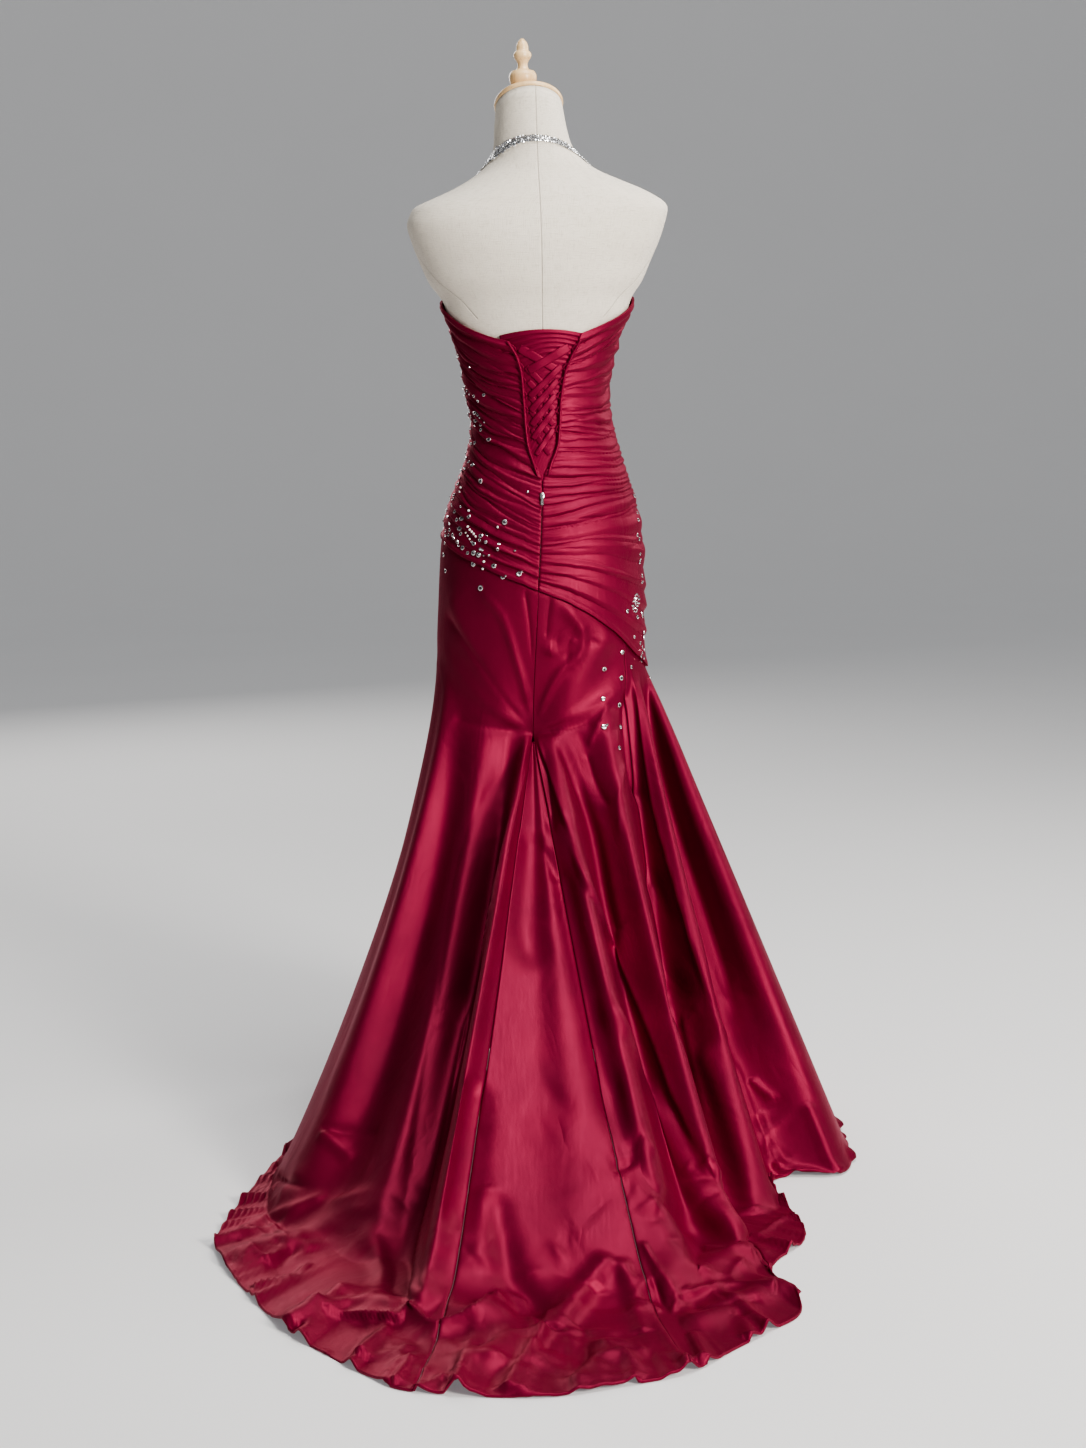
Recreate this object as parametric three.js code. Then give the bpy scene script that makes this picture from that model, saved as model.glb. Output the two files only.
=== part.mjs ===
// Mermaid evening gown on a limbless dress form, in millimetres with +Z up.
// The front faces -Y and the wearer's left is +X. Angles run round the body in degrees
// from the back (+Y, 0) over the wearer's left (+X, 90) to the front (180).
import * as THREE from "three";

// Driving sizes.
const CLOTH_WALL = 2;
const SEAM_TRIM = 0.6; // taken off each side edge of a panel
const TOP_SEAM_GAP = 1.5; // between the bodice's lower edge and the skirt
const FLOOR_LIFT = 2.7; // outer face of cloth that lies on the floor
const FORM_INSET = 5.6; // from the cloth's outer face to the dress form
const PANEL_INSET = 3.2; // outer face of the modesty panel
const PANEL_WALL = 1.5;
const KICK_HEIGHT = 600; // height of the point where the godet starts
const LACE_WALL = 0.9;
const LACE_LOW = 1.1; // outer face of the lower lacing layer, inwards from the cloth
const LACE_HIGH = -0.6;
const BASE_RADIUS = 150;
const BASE_HEIGHT = 22;
const POST_RADIUS = 14;
const STAND_GAP = 0.3; // between the wooden pieces that stand on each other

// Cross-sections of the dressed body: middle, half width, depth to the back and to the front.
const BODY_SECTIONS = [
  { z: 1275, x: 3, half: 160, back: 97, front: 106 },
  { z: 1250, x: 3, half: 149, back: 93, front: 114 },
  { z: 1227, x: 3, half: 142, back: 90, front: 118 },
  { z: 1200, x: 5, half: 130, back: 87, front: 113 },
  { z: 1160, x: 5, half: 119, back: 83, front: 97 },
  { z: 1110, x: 5, half: 110, back: 80, front: 87 },
  { z: 1065, x: 0, half: 109, back: 81, front: 84 },
  { z: 1023, x: -2, half: 117, back: 86, front: 87 },
  { z: 978, x: 0, half: 132, back: 97, front: 93 },
  { z: 932, x: 2, half: 148, back: 109, front: 98 },
  { z: 886, x: 3, half: 155, back: 117, front: 100 },
  { z: 840, x: 4, half: 158, back: 121, front: 99 },
  { z: 793, x: 5, half: 160, back: 121, front: 98 },
  { z: 747, x: 7, half: 161, back: 118, front: 97 },
  { z: 700, x: 8, half: 162, back: 115, front: 98 },
  { z: 600, x: 8, half: 172, back: 113, front: 112 },
];

// Cross-sections of the bare form above the gown, at its own surface.
const FORM_SECTIONS = [
  { z: 1275, x: 4, half: 161, y: 0, back: 92, front: 96 },
  { z: 1306, x: 4, half: 175, y: 0, back: 94, front: 88 },
  { z: 1335, x: 3, half: 187, y: 2, back: 92, front: 76 },
  { z: 1362, x: 2, half: 195, y: 4, back: 86, front: 62 },
  { z: 1380, x: -3, half: 193, y: 5, back: 80, front: 55 },
  { z: 1396, x: -10, half: 174, y: 6, back: 74, front: 52 },
  { z: 1410, x: -13, half: 148, y: 5, back: 69, front: 51 },
  { z: 1424, x: -10, half: 118, y: 3, back: 64, front: 53 },
  { z: 1439, x: -4, half: 90, y: 0, back: 60, front: 56 },
  { z: 1455, x: 0, half: 71, y: -3, back: 58, front: 56 },
  { z: 1474, x: 4, half: 60, y: -6, back: 57, front: 53 },
  { z: 1500, x: 7, half: 55, y: -8, back: 56, front: 51 },
];

// The neck's top is cut off by a plane that drops towards the front, and carries the wooden cap.
const NECK_TOP = { x: 9, y: -8, z: 1535, half: 50, depth: 55, tiltDeg: 27 };
const CAP_THICK = 8;
const CAP_RIM = 2.5;
const CAP_GAP = 0.4;
const FINIAL_FOOT = { x: 17, y: -8 };
const FINIAL_PROFILE = [
  { z: 0, r: 11 },
  { z: 6, r: 11.5 },
  { z: 12, r: 15 },
  { z: 22, r: 20 },
  { z: 31, r: 20.5 },
  { z: 37, r: 17 },
  { z: 39, r: 10 },
  { z: 46, r: 7.5 },
  { z: 52, r: 9.5 },
  { z: 57, r: 13 },
  { z: 63, r: 13 },
  { z: 67, r: 9.5 },
  { z: 73, r: 9 },
  { z: 79, r: 7 },
  { z: 83, r: 3.5 },
];

// The gown's top edge, its slanting drop waist and the line of its centre back seam.
const NECKLINE = [
  { deg: 0, z: 1180 },
  { deg: 33, z: 1192 },
  { deg: 60, z: 1213 },
  { deg: 90, z: 1243 },
  { deg: 122, z: 1258 },
  { deg: 148, z: 1268 },
  { deg: 180, z: 1238 },
  { deg: 212, z: 1268 },
  { deg: 238, z: 1260 },
  { deg: 270, z: 1248 },
  { deg: 300, z: 1222 },
  { deg: 328, z: 1199 },
];
const DROP_WAIST = [
  { deg: 0, z: 816 },
  { deg: 14, z: 833 },
  { deg: 40, z: 862 },
  { deg: 90, z: 900 },
  { deg: 135, z: 880 },
  { deg: 180, z: 815 },
  { deg: 225, z: 735 },
  { deg: 270, z: 692 },
  { deg: 300, z: 716 },
  { deg: 321, z: 756 },
  { deg: 345, z: 796 },
];
const CENTRE_SEAM = [
  { z: 600, x: 33 },
  { z: 830, x: 20 },
  { z: 965, x: 10 },
  { z: 1250, x: 5 },
];

// The open V of the laced back, as distances left and right of the middle.
const LACING_V = [
  { z: 975, left: 11, right: 5 },
  { z: 1000, left: 17, right: -1 },
  { z: 1030, left: 25, right: -13 },
  { z: 1060, left: 28, right: -17 },
  { z: 1100, left: 30, right: -20 },
  { z: 1140, left: 33, right: -27 },
  { z: 1165, left: 40, right: -38 },
  { z: 1182, left: 50, right: -48 },
  { z: 1200, left: 62, right: -56 },
];
const V_BOTTOM = 975;
const V_BLEND = 30; // height over which the V's edge leaves the centre seam

// The largest pleats of the ruched backs, from the lacing or seam out to the side seam.
const LEFT_PLEATS = [
  { inner: 1160, side: 1188, lift: 2.4 },
  { inner: 1100, side: 1122, lift: 2.2 },
  { inner: 1035, side: 1062, lift: 2.4 },
  { inner: 965, side: 1010, lift: 2.6 },
  { inner: 905, side: 968, lift: 3 },
  { inner: 855, side: 925, lift: 3.4 },
];
const RIGHT_PLEATS = [
  { inner: 1155, side: 1200, lift: 2.4 },
  { inner: 1095, side: 1118, lift: 2.2 },
  { inner: 1030, side: 1030, lift: 2.4 },
  { inner: 960, side: 950, lift: 2.6 },
  { inner: 900, side: 850, lift: 3 },
  { inner: 850, side: 745, lift: 3.6 },
];
const PLEAT_HALF_WIDTH = 11;

// Meridians of the skirt in order round it. Each leaves the body at an angle and height,
// runs straight in plan to its hem point, reaches the floor at the share "touch" of that run
// and lies on the floor from there. "bow" rounds the fall onto the floor, "flare" delays the flare.
const MERIDIANS = [
  { name: "seam right", deg: 0, top: 600, x: -53, y: 1077, touch: 0.79, bow: 1.15, flare: 1 },
  { name: "godet right", deg: 0, top: 600, x: 31, y: 1104, touch: 0.78, bow: 1.16, flare: 1 },
  { name: "godet middle", deg: 0, top: 600, x: 130, y: 1120, touch: 0.77, bow: 1.18, flare: 1.02 },
  { name: "seam left", deg: 0, top: 600, x: 262, y: 1086, touch: 0.79, bow: 1.12, flare: 1 },
  { name: "ridge left", deg: 3, top: 603, x: 305, y: 1046, touch: 0.82, bow: 1.08, flare: 0.96 },
  { name: "hollow left", deg: 12, top: 613, x: 352, y: 980, touch: 0.68, bow: 1.32, flare: 1.36 },
  { name: "swell left", deg: 26, top: 638, x: 408, y: 892, touch: 0.73, bow: 1.25, flare: 1.25 },
  { name: "fall left", deg: 42, top: 662, x: 456, y: 772, touch: 0.74, bow: 1.25, flare: 1.4 },
  { name: "train left", deg: 56, top: 683, x: 495, y: 653, touch: 0.8, bow: 1.15, flare: 1.25 },
  { name: "tip left", deg: 67, top: 694, x: 505, y: 545, touch: 0.82, bow: 1.12, flare: 1.42 },
  { name: "edge left", deg: 78, top: 700, x: 448, y: 300, touch: 0.93, bow: 1.04, flare: 1.42 },
  { name: "corner left", deg: 92, top: 700, x: 376, y: 60, touch: 1, bow: 1, flare: 1.46 },
  { name: "fore left", deg: 122, top: 700, x: 300, y: -140, touch: 1, bow: 1, flare: 1.6 },
  { name: "front left", deg: 150, top: 700, x: 160, y: -262, touch: 1, bow: 1, flare: 1.5 },
  { name: "front", deg: 180, top: 700, x: 0, y: -292, touch: 1, bow: 1, flare: 1.55 },
  { name: "front right", deg: 208, top: 690, x: -165, y: -262, touch: 1, bow: 1, flare: 1.45 },
  { name: "fore right", deg: 232, top: 690, x: -310, y: -140, touch: 1, bow: 1, flare: 1.4 },
  { name: "side right", deg: 254, top: 685, x: -388, y: 60, touch: 1, bow: 1, flare: 1.2 },
  { name: "flare right", deg: 264, top: 680, x: -404, y: 260, touch: 1, bow: 1, flare: 1.02 },
  { name: "tip right", deg: 272, top: 680, x: -376, y: 422, touch: 1, bow: 1, flare: 1 },
  { name: "notch right", deg: 281, top: 683, x: -268, y: 446, touch: 0.97, bow: 1.05, flare: 1.35 },
  { name: "fold right", deg: 291, top: 686, x: -270, y: 660, touch: 0.84, bow: 1.15, flare: 1.1 },
  { name: "pinch right", deg: 305, top: 680, x: -204, y: 774, touch: 0.7, bow: 1.3, flare: 1.4 },
  { name: "swell right", deg: 323, top: 655, x: -214, y: 912, touch: 0.76, bow: 1.2, flare: 1.12 },
  { name: "hollow right", deg: 339, top: 630, x: -162, y: 975, touch: 0.7, bow: 1.3, flare: 1.3 },
  { name: "ridge right", deg: 351, top: 607, x: -116, y: 1018, touch: 0.8, bow: 1.1, flare: 0.97 },
  { name: "seam right end", deg: 360, top: 600, x: -53, y: 1077, touch: 0.79, bow: 1.15, flare: 1 },
];

// Large folds of the cloth on the floor: ends in plan, half width and height.
const FLOOR_FOLDS = [
  { name: "break left", x0: 290, y0: 848, x1: 160, y1: 905, width: 34, lift: 20 },
  { name: "break middle", x0: 60, y0: 880, x1: 180, y1: 1010, width: 30, lift: 14 },
  { name: "left sweep", x0: 340, y0: 560, x1: 470, y1: 640, width: 36, lift: 14 },
  { name: "left hem", x0: 330, y0: 800, x1: 400, y1: 870, width: 26, lift: 12 },
  { name: "right knot", x0: -170, y0: 720, x1: -60, y1: 850, width: 30, lift: 16 },
  { name: "right hem", x0: -190, y0: 850, x1: -90, y1: 935, width: 24, lift: 12 },
  { name: "middle hem", x0: 20, y0: 1000, x1: 70, y1: 1085, width: 24, lift: 10 },
];

// Drag folds of the sheath that radiate from the kick point, in degrees and heights.
const DRAG_FOLDS = [
  { name: "left high", deg0: 6, z0: 612, deg1: 52, z1: 800, width: 24, lift: 7 },
  { name: "left low", deg0: 8, z0: 606, deg1: 72, z1: 668, width: 26, lift: 6 },
  { name: "right high", deg0: 354, z0: 612, deg1: 322, z1: 736, width: 22, lift: 6 },
  { name: "right low", deg0: 352, z0: 606, deg1: 310, z1: 668, width: 24, lift: 5 },
];
const KICK_DIMPLE = { depth: 16, deg: 13, height: 70 };

// The panels between meridians, with columns for each space between two meridians, rows, the
// share of its length where a panel is wide enough to start, and what is trimmed off its sides.
const SKIRT_PANELS = [
  { name: "skirt_godet", from: 0, to: 3, columns: 3, rows: 24, start: 0.015, trim: 0.8 },
  { name: "skirt_back_left", from: 3, to: 11, columns: 2, rows: 26, start: 0, trim: 0.6 },
  { name: "skirt_front", from: 11, to: 17, columns: 2, rows: 16, start: 0, trim: 0.6 },
  { name: "skirt_pleats_right", from: 17, to: 22, columns: 2, rows: 24, start: 0, trim: 0.9 },
  { name: "skirt_back_right", from: 22, to: 26, columns: 3, rows: 25, start: 0, trim: 0.7 },
];
const PROFILE_STEPS = { sheath: 10, fall: 36, floor: 8 };
const FOLD_FADE = 160; // height at which the folds of the floor have faded out
const CLOTH_PER_DEGREE = 2.6; // round the sheath

// The beaded halter strap over the nape, as places on the form, with its width.
const STRAP_ROUTE = [
  { deg: 196, z: 1262, width: 12 },
  { deg: 206, z: 1330, width: 12 },
  { deg: 222, z: 1392, width: 12 },
  { deg: 243, z: 1430, width: 11 },
  { deg: 268, z: 1452, width: 11 },
  { deg: 300, z: 1468, width: 10 },
  { deg: 330, z: 1480, width: 10 },
  { deg: 360, z: 1484, width: 11 },
  { deg: 390, z: 1480, width: 13 },
  { deg: 420, z: 1467, width: 15 },
  { deg: 452, z: 1450, width: 16 },
  { deg: 477, z: 1430, width: 16 },
  { deg: 498, z: 1392, width: 16 },
  { deg: 514, z: 1330, width: 16 },
  { deg: 524, z: 1262, width: 16 },
];
const STRAP_STEPS = 56;
const STRAP_SEAT = 1.05;
const STRAP_WALL = 1.4;

// Lacing: the ribbons of one layer run down to the right, those of the other down to the left.
const LACES = [
  { top: 1176, drop: 34, width: 13 },
  { top: 1148, drop: 44, width: 9.5 },
  { top: 1127, drop: 44, width: 9.5 },
  { top: 1106, drop: 44, width: 9.5 },
  { top: 1084, drop: 42, width: 9 },
  { top: 1056, drop: 38, width: 8 },
];
const LACE_STEPS = 5;
const LACE_CLEAR = 1.5; // from a ribbon's end to the edge of the V
const PIPING_RADIUS = 2;
const PIPING_SEAT = 0.6;
const PIPING_TOP = 1186;
const PIPING_FOOT = 987;
const PIPING_STEPS = 16;

// Invisible zip below the V: its closed chain behind the seam, the slider and its pull tab.
const ZIP = { top: 968, bottom: 842, chainWidth: 5, chainWall: 1.6, gap: 0.5 };
const SLIDER = { z: 957, width: 6, height: 9, depth: 3, seat: 0.5 };
const PULL_TAB = { length: 15, width: 4.4, neckWidth: 2.6, wall: 1, overPivot: 0.4, pivotRise: 2.5, gap: 0.4 };

const colours = {
  satin: new THREE.MeshStandardMaterial({ color: 0x8e1230, roughness: 0.34, metalness: 0 }),
  linen: new THREE.MeshStandardMaterial({ color: 0xd9d0c0, roughness: 0.95, metalness: 0 }),
  maple: new THREE.MeshStandardMaterial({ color: 0xe2bd83, roughness: 0.45, metalness: 0 }),
  crystal: new THREE.MeshStandardMaterial({ color: 0xcfc8c4, roughness: 0.2, metalness: 0.6 }),
  steel: new THREE.MeshStandardMaterial({ color: 0xc9c9cc, roughness: 0.25, metalness: 1 }),
};

const model = new THREE.Group();

const radians = THREE.MathUtils.degToRad;
const mix = THREE.MathUtils.lerp;
const wrap = (value, size) => ((value % size) + size) % size;

// Smooth curve through four neighbouring table values.
function throughFour(a, b, c, d, t) {
  const tangentB = (c - a) / 2;
  const tangentC = (d - b) / 2;
  const t2 = t * t;
  const t3 = t2 * t;
  return (
    (2 * t3 - 3 * t2 + 1) * b +
    (t3 - 2 * t2 + t) * tangentB +
    (3 * t2 - 2 * t3) * c +
    (t3 - t2) * tangentC
  );
}

// Value of one column of a table at a key, through its rows in order of that key.
function lookUp(rows, key, at, column) {
  const order = rows[0][key] < rows[rows.length - 1][key] ? rows : [...rows].reverse();
  const last = order.length - 1;
  if (at <= order[0][key]) return order[0][column];
  if (at >= order[last][key]) return order[last][column];
  let i = 0;
  while (at > order[i + 1][key]) i++;
  const t = (at - order[i][key]) / (order[i + 1][key] - order[i][key]);
  const row = (n) => order[Math.min(Math.max(n, 0), last)][column];
  return throughFour(row(i - 1), row(i), row(i + 1), row(i + 2), t);
}

// The same for a table that closes round the body.
function lookRound(rows, deg, column) {
  const at = wrap(deg, 360);
  let i = rows.length - 1;
  while (i > 0 && rows[i].deg > at) i--;
  const next = rows[(i + 1) % rows.length];
  const span = wrap(next.deg - rows[i].deg, 360);
  const row = (n) => rows[wrap(n, rows.length)][column];
  return throughFour(row(i - 1), row(i), row(i + 1), row(i + 2), (at - rows[i].deg) / span);
}

// A point of a body section at an angle, moved out along the section's normal.
function sectionPoint(section, deg, z, out) {
  const angle = radians(deg);
  const depth = Math.cos(angle) > 0 ? section.back : section.front;
  const normal = new THREE.Vector2(
    Math.sin(angle) / section.half,
    Math.cos(angle) / depth,
  ).normalize();
  return new THREE.Vector3(
    section.x + section.half * Math.sin(angle) + normal.x * out,
    (section.y ?? 0) + depth * Math.cos(angle) + normal.y * out,
    z,
  );
}

function readSection(table, z, columns) {
  const section = {};
  for (const column of columns) section[column] = lookUp(table, "z", z, column);
  return section;
}

const gownSection = (z) => readSection(BODY_SECTIONS, z, ["x", "half", "back", "front"]);
const gownPoint = (deg, z, out) => sectionPoint(gownSection(z), deg, z, out);
// Degrees round the body of a distance x from the middle of its back.
function backAngle(x, z) {
  const section = gownSection(z);
  return THREE.MathUtils.radToDeg(Math.asin((x - section.x) / section.half));
}

// The centre back seam drifts round the body on its way down, and the other seams turn with it.
const seamTurn = (z) => backAngle(lookUp(CENTRE_SEAM, "z", z, "x"), z);

// A closed wall between an outer and an inner sheet of points, both indexed [column][row].
function wallBetween(outer, inner) {
  const columns = outer.length;
  const rows = outer[0].length;
  const positions = [];
  const index = [];
  for (const sheet of [outer, inner])
    for (const column of sheet) for (const p of column) positions.push(p.x, p.y, p.z);
  const at = (side, i, j) => side * columns * rows + i * rows + j;
  const quad = (a, b, c, d) => index.push(a, b, c, a, c, d);
  for (let i = 0; i < columns - 1; i++)
    for (let j = 0; j < rows - 1; j++) {
      quad(at(0, i, j), at(0, i, j + 1), at(0, i + 1, j + 1), at(0, i + 1, j));
      quad(at(1, i, j), at(1, i + 1, j), at(1, i + 1, j + 1), at(1, i, j + 1));
    }
  for (let i = 0; i < columns - 1; i++) {
    quad(at(0, i, 0), at(0, i + 1, 0), at(1, i + 1, 0), at(1, i, 0));
    quad(at(0, i, rows - 1), at(1, i, rows - 1), at(1, i + 1, rows - 1), at(0, i + 1, rows - 1));
  }
  for (let j = 0; j < rows - 1; j++) {
    quad(at(0, 0, j), at(1, 0, j), at(1, 0, j + 1), at(0, 0, j + 1));
    quad(
      at(0, columns - 1, j),
      at(0, columns - 1, j + 1),
      at(1, columns - 1, j + 1),
      at(1, columns - 1, j),
    );
  }
  return solidGeometry(positions, index);
}

// Geometry from points and triangles, turned so that its faces point out.
function solidGeometry(positions, index) {
  let volume = 0;
  const corner = (n) => new THREE.Vector3().fromArray(positions, index[n] * 3);
  for (let n = 0; n < index.length; n += 3)
    volume += corner(n).dot(corner(n + 1).cross(corner(n + 2)));
  if (volume < 0)
    for (let n = 0; n < index.length; n += 3)
      [index[n + 1], index[n + 2]] = [index[n + 2], index[n + 1]];
  const geometry = new THREE.BufferGeometry();
  geometry.setAttribute("position", new THREE.Float32BufferAttribute(positions, 3));
  geometry.setIndex(index);
  geometry.computeVertexNormals();
  return geometry;
}

function addPiece(name, geometry, material) {
  const mesh = new THREE.Mesh(geometry, material);
  mesh.name = name;
  model.add(mesh);
}

// Moves the points of an edge column towards its neighbour by a distance.
function trimColumn(edge, neighbour, distance) {
  edge.forEach((point, j) => {
    const inwards = neighbour[j].clone().sub(point);
    point.addScaledVector(inwards, Math.min(distance / inwards.length(), 0.4));
  });
}

// A cloth panel from a surface of two parameters, its inner face a wall's width further in.
// u runs round the body from the back to the wearer's left and v runs down, so their
// cross product points out. Each side edge is trimmed to leave the seam's gap.
function clothPanel(surface, across, down, { wall = CLOTH_WALL, inset = 0, trim = SEAM_TRIM } = {}) {
  const outer = [];
  const inner = [];
  const stepU = 0.01 * (across[across.length - 1] - across[0]);
  const stepV = 0.006;
  for (const u of across) {
    const outerColumn = [];
    const innerColumn = [];
    for (const v of down) {
      const along = surface(u + stepU, v).sub(surface(u - stepU, v));
      const fall = surface(u, Math.min(v + stepV, 1)).sub(surface(u, Math.max(v - stepV, 0)));
      const normal = along.cross(fall).normalize();
      const point = surface(u, v);
      outerColumn.push(point.clone().addScaledVector(normal, -inset));
      innerColumn.push(point.clone().addScaledVector(normal, -inset - wall));
    }
    outer.push(outerColumn);
    inner.push(innerColumn);
  }
  for (const sheet of [outer, inner]) {
    trimColumn(sheet[0], sheet[1], trim);
    trimColumn(sheet.at(-1), sheet.at(-2), trim);
  }
  return wallBetween(outer, inner);
}

const spread = (from, to, count) =>
  Array.from({ length: count + 1 }, (_, i) => mix(from, to, i / count));

// Height of a soft ridge with the given half width at a distance from its line.
const ridge = (distance, halfWidth) => Math.exp(-((distance / halfWidth) ** 2));

// Distance of a point from a line between two points.
function fromLine(px, py, x0, y0, x1, y1) {
  const length = (x1 - x0) ** 2 + (y1 - y0) ** 2;
  const share = ((px - x0) * (x1 - x0) + (py - y0) * (y1 - y0)) / length;
  const t = THREE.MathUtils.clamp(share, 0, 1);
  return Math.hypot(px - mix(x0, x1, t), py - mix(y0, y1, t));
}

// Bodice -----------------------------------------------------------------------

const neckline = (deg) => lookRound(NECKLINE, deg, "z");
const dropWaist = (deg) => lookRound(DROP_WAIST, deg, "z");

// Inner edge of a back: the side of the V, and below it the centre back seam.
function backEdge(side, z) {
  if (z <= V_BOTTOM) return seamTurn(z);
  const v = lookUp(LACING_V, "z", z, side);
  const blend = Math.min((z - V_BOTTOM) / V_BLEND, 1);
  return mix(seamTurn(z), backAngle(v, z), blend);
}

// Surface of one ruched back: out runs from its inner edge to the side seam, v down.
// The pleats start flat at the inner edge, where they are stitched down.
function backSurface(side, pleats) {
  const sideDeg = side === "left" ? 90 : -90;
  return (u, v) => {
    const out = side === "left" ? u : 1 - u;
    let deg = sideDeg * out;
    let z = 0;
    for (let pass = 0; pass < 6; pass++) {
      z = mix(neckline(deg), dropWaist(deg), v);
      deg = mix(backEdge(side, z), sideDeg, out);
    }
    const stitched = THREE.MathUtils.smoothstep(out, 0.08, 0.22);
    let lift = 0;
    for (const pleat of pleats)
      lift += pleat.lift * ridge(z - mix(pleat.inner, pleat.side, out), PLEAT_HALF_WIDTH);
    return gownPoint(deg, z, lift * stitched);
  };
}

function addBodice() {
  const backs = { left: LEFT_PLEATS, right: RIGHT_PLEATS };
  for (const side in backs) {
    const surface = backSurface(side, backs[side]);
    const geometry = clothPanel(surface, spread(0, 1, 9), spread(0, 1, 20));
    addPiece("bodice_back_" + side, geometry, colours.satin);
  }
  const frontSurface = (u, v) => {
    const deg = mix(90, 270, u);
    return gownPoint(deg, mix(neckline(deg), dropWaist(deg), v), 0);
  };
  addPiece("bodice_front", clothPanel(frontSurface, spread(0, 1, 18), spread(0, 1, 12)), colours.satin);
}

// Modesty panel, piping and lacing of the V -----------------------------------------

const PANEL = { x: 2, top: 1203, topDip: 8, bottom: 990, wideTop: 66, wideBottom: 26 };

function addModestyPanel() {
  const surface = (u, v) => {
    const z = mix(PANEL.top - PANEL.topDip * (2 * u - 1) ** 2, PANEL.bottom, v);
    const reach = mix(PANEL.wideTop, PANEL.wideBottom, v);
    return gownPoint(backAngle(PANEL.x + mix(-reach, reach, u), z), z, 0);
  };
  const size = { wall: PANEL_WALL, inset: PANEL_INSET, trim: 0 };
  addPiece("modesty_panel", clothPanel(surface, spread(0, 1, 8), spread(0, 1, 8), size), colours.satin);
}

// A ribbon along a route of points with normals, "width" across and "wall" thick, outer face on the route.
function ribbon(route, normals, widths, wall) {
  const outer = [[], []];
  const inner = [[], []];
  route.forEach((point, i) => {
    const before = route[Math.max(i - 1, 0)];
    const after = route[Math.min(i + 1, route.length - 1)];
    const along = after.clone().sub(before).normalize();
    const across = along.cross(normals[i]).normalize();
    for (const [n, half] of [
      [0, -widths[i] / 2],
      [1, widths[i] / 2],
    ]) {
      const edge = point.clone().addScaledVector(across, half);
      outer[n].push(edge);
      inner[n].push(edge.clone().addScaledVector(normals[i], -wall));
    }
  });
  return wallBetween(outer, inner);
}

// One lacing ribbon across the V, its ends just short of the two edges.
function addLace(name, lace, fromSide, inset) {
  const toSide = fromSide === "left" ? "right" : "left";
  const clear = (lace.width / 2 + LACE_CLEAR) * (fromSide === "left" ? -1 : 1);
  const x0 = lookUp(LACING_V, "z", lace.top, fromSide) + clear;
  const x1 = lookUp(LACING_V, "z", lace.top - lace.drop, toSide) - clear;
  const route = [];
  const normals = [];
  for (const t of spread(0, 1, LACE_STEPS)) {
    const z = mix(lace.top, lace.top - lace.drop, t);
    const deg = backAngle(mix(x0, x1, t), z);
    const point = gownPoint(deg, z, -inset);
    route.push(point);
    normals.push(gownPoint(deg, z, 1).sub(gownPoint(deg, z, 0)));
  }
  const widths = route.map(() => lace.width);
  addPiece(name, ribbon(route, normals, widths, LACE_WALL), colours.satin);
}

function addLacing() {
  LACES.forEach((lace, i) => {
    addLace("lace_down_right_" + (i + 1), lace, "left", LACE_LOW);
    addLace("lace_down_left_" + (i + 1), lace, "right", LACE_HIGH);
  });
}

// Piping along one side of the V, on top of the back's edge.
function addPiping(side) {
  const turn = side === "left" ? 1 : -1;
  const points = spread(PIPING_FOOT, PIPING_TOP, PIPING_STEPS).map((z) => {
    const edge = lookUp(LACING_V, "z", z, side) + turn * (PIPING_RADIUS + SEAM_TRIM);
    return gownPoint(backAngle(edge, z), z, PIPING_RADIUS + PIPING_SEAT);
  });
  const section = new THREE.Shape().absarc(0, 0, PIPING_RADIUS, 0, 2 * Math.PI);
  const geometry = new THREE.ExtrudeGeometry(section, {
    curveSegments: 3,
    steps: PIPING_STEPS,
    bevelEnabled: false,
    extrudePath: new THREE.CatmullRomCurve3(points),
  });
  addPiece("v_piping_" + side, geometry, colours.satin);
}

// Zip -----------------------------------------------------------------------------

function addZip() {
  const rows = spread(ZIP.bottom, ZIP.top, 8);
  const route = rows.map((z) => gownPoint(seamTurn(z), z, -CLOTH_WALL - ZIP.gap));
  const normals = rows.map((z) =>
    gownPoint(seamTurn(z), z, 1).sub(gownPoint(seamTurn(z), z, 0)),
  );
  const widths = rows.map(() => ZIP.chainWidth);
  addPiece("zip_chain", ribbon(route, normals, widths, ZIP.chainWall), colours.steel);

  const slider = sliderGroup();
  model.add(slider);
  const body = new THREE.Mesh(
    new THREE.BoxGeometry(SLIDER.width, SLIDER.depth, SLIDER.height),
    colours.steel,
  );
  body.name = "zip_slider";
  slider.add(body);
  slider.add(pullTab());
}

// The slider's own frame on the seam: Y out of the cloth, Z up along it.
function sliderGroup() {
  const seat = gownPoint(seamTurn(SLIDER.z), SLIDER.z, 0);
  const side = gownPoint(seamTurn(SLIDER.z) + 1, SLIDER.z, 0).sub(seat).normalize();
  const below = gownPoint(seamTurn(SLIDER.z), SLIDER.z - PULL_TAB.length, 0);
  const up = seat.clone().sub(below).normalize();
  const out = side.clone().cross(up).negate().normalize();
  const group = new THREE.Group();
  group.matrix.makeBasis(out.clone().cross(up), out, up);
  group.matrix.setPosition(seat.addScaledVector(out, SLIDER.depth / 2 + SLIDER.seat));
  group.matrix.decompose(group.position, group.quaternion, group.scale);
  return group;
}

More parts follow.
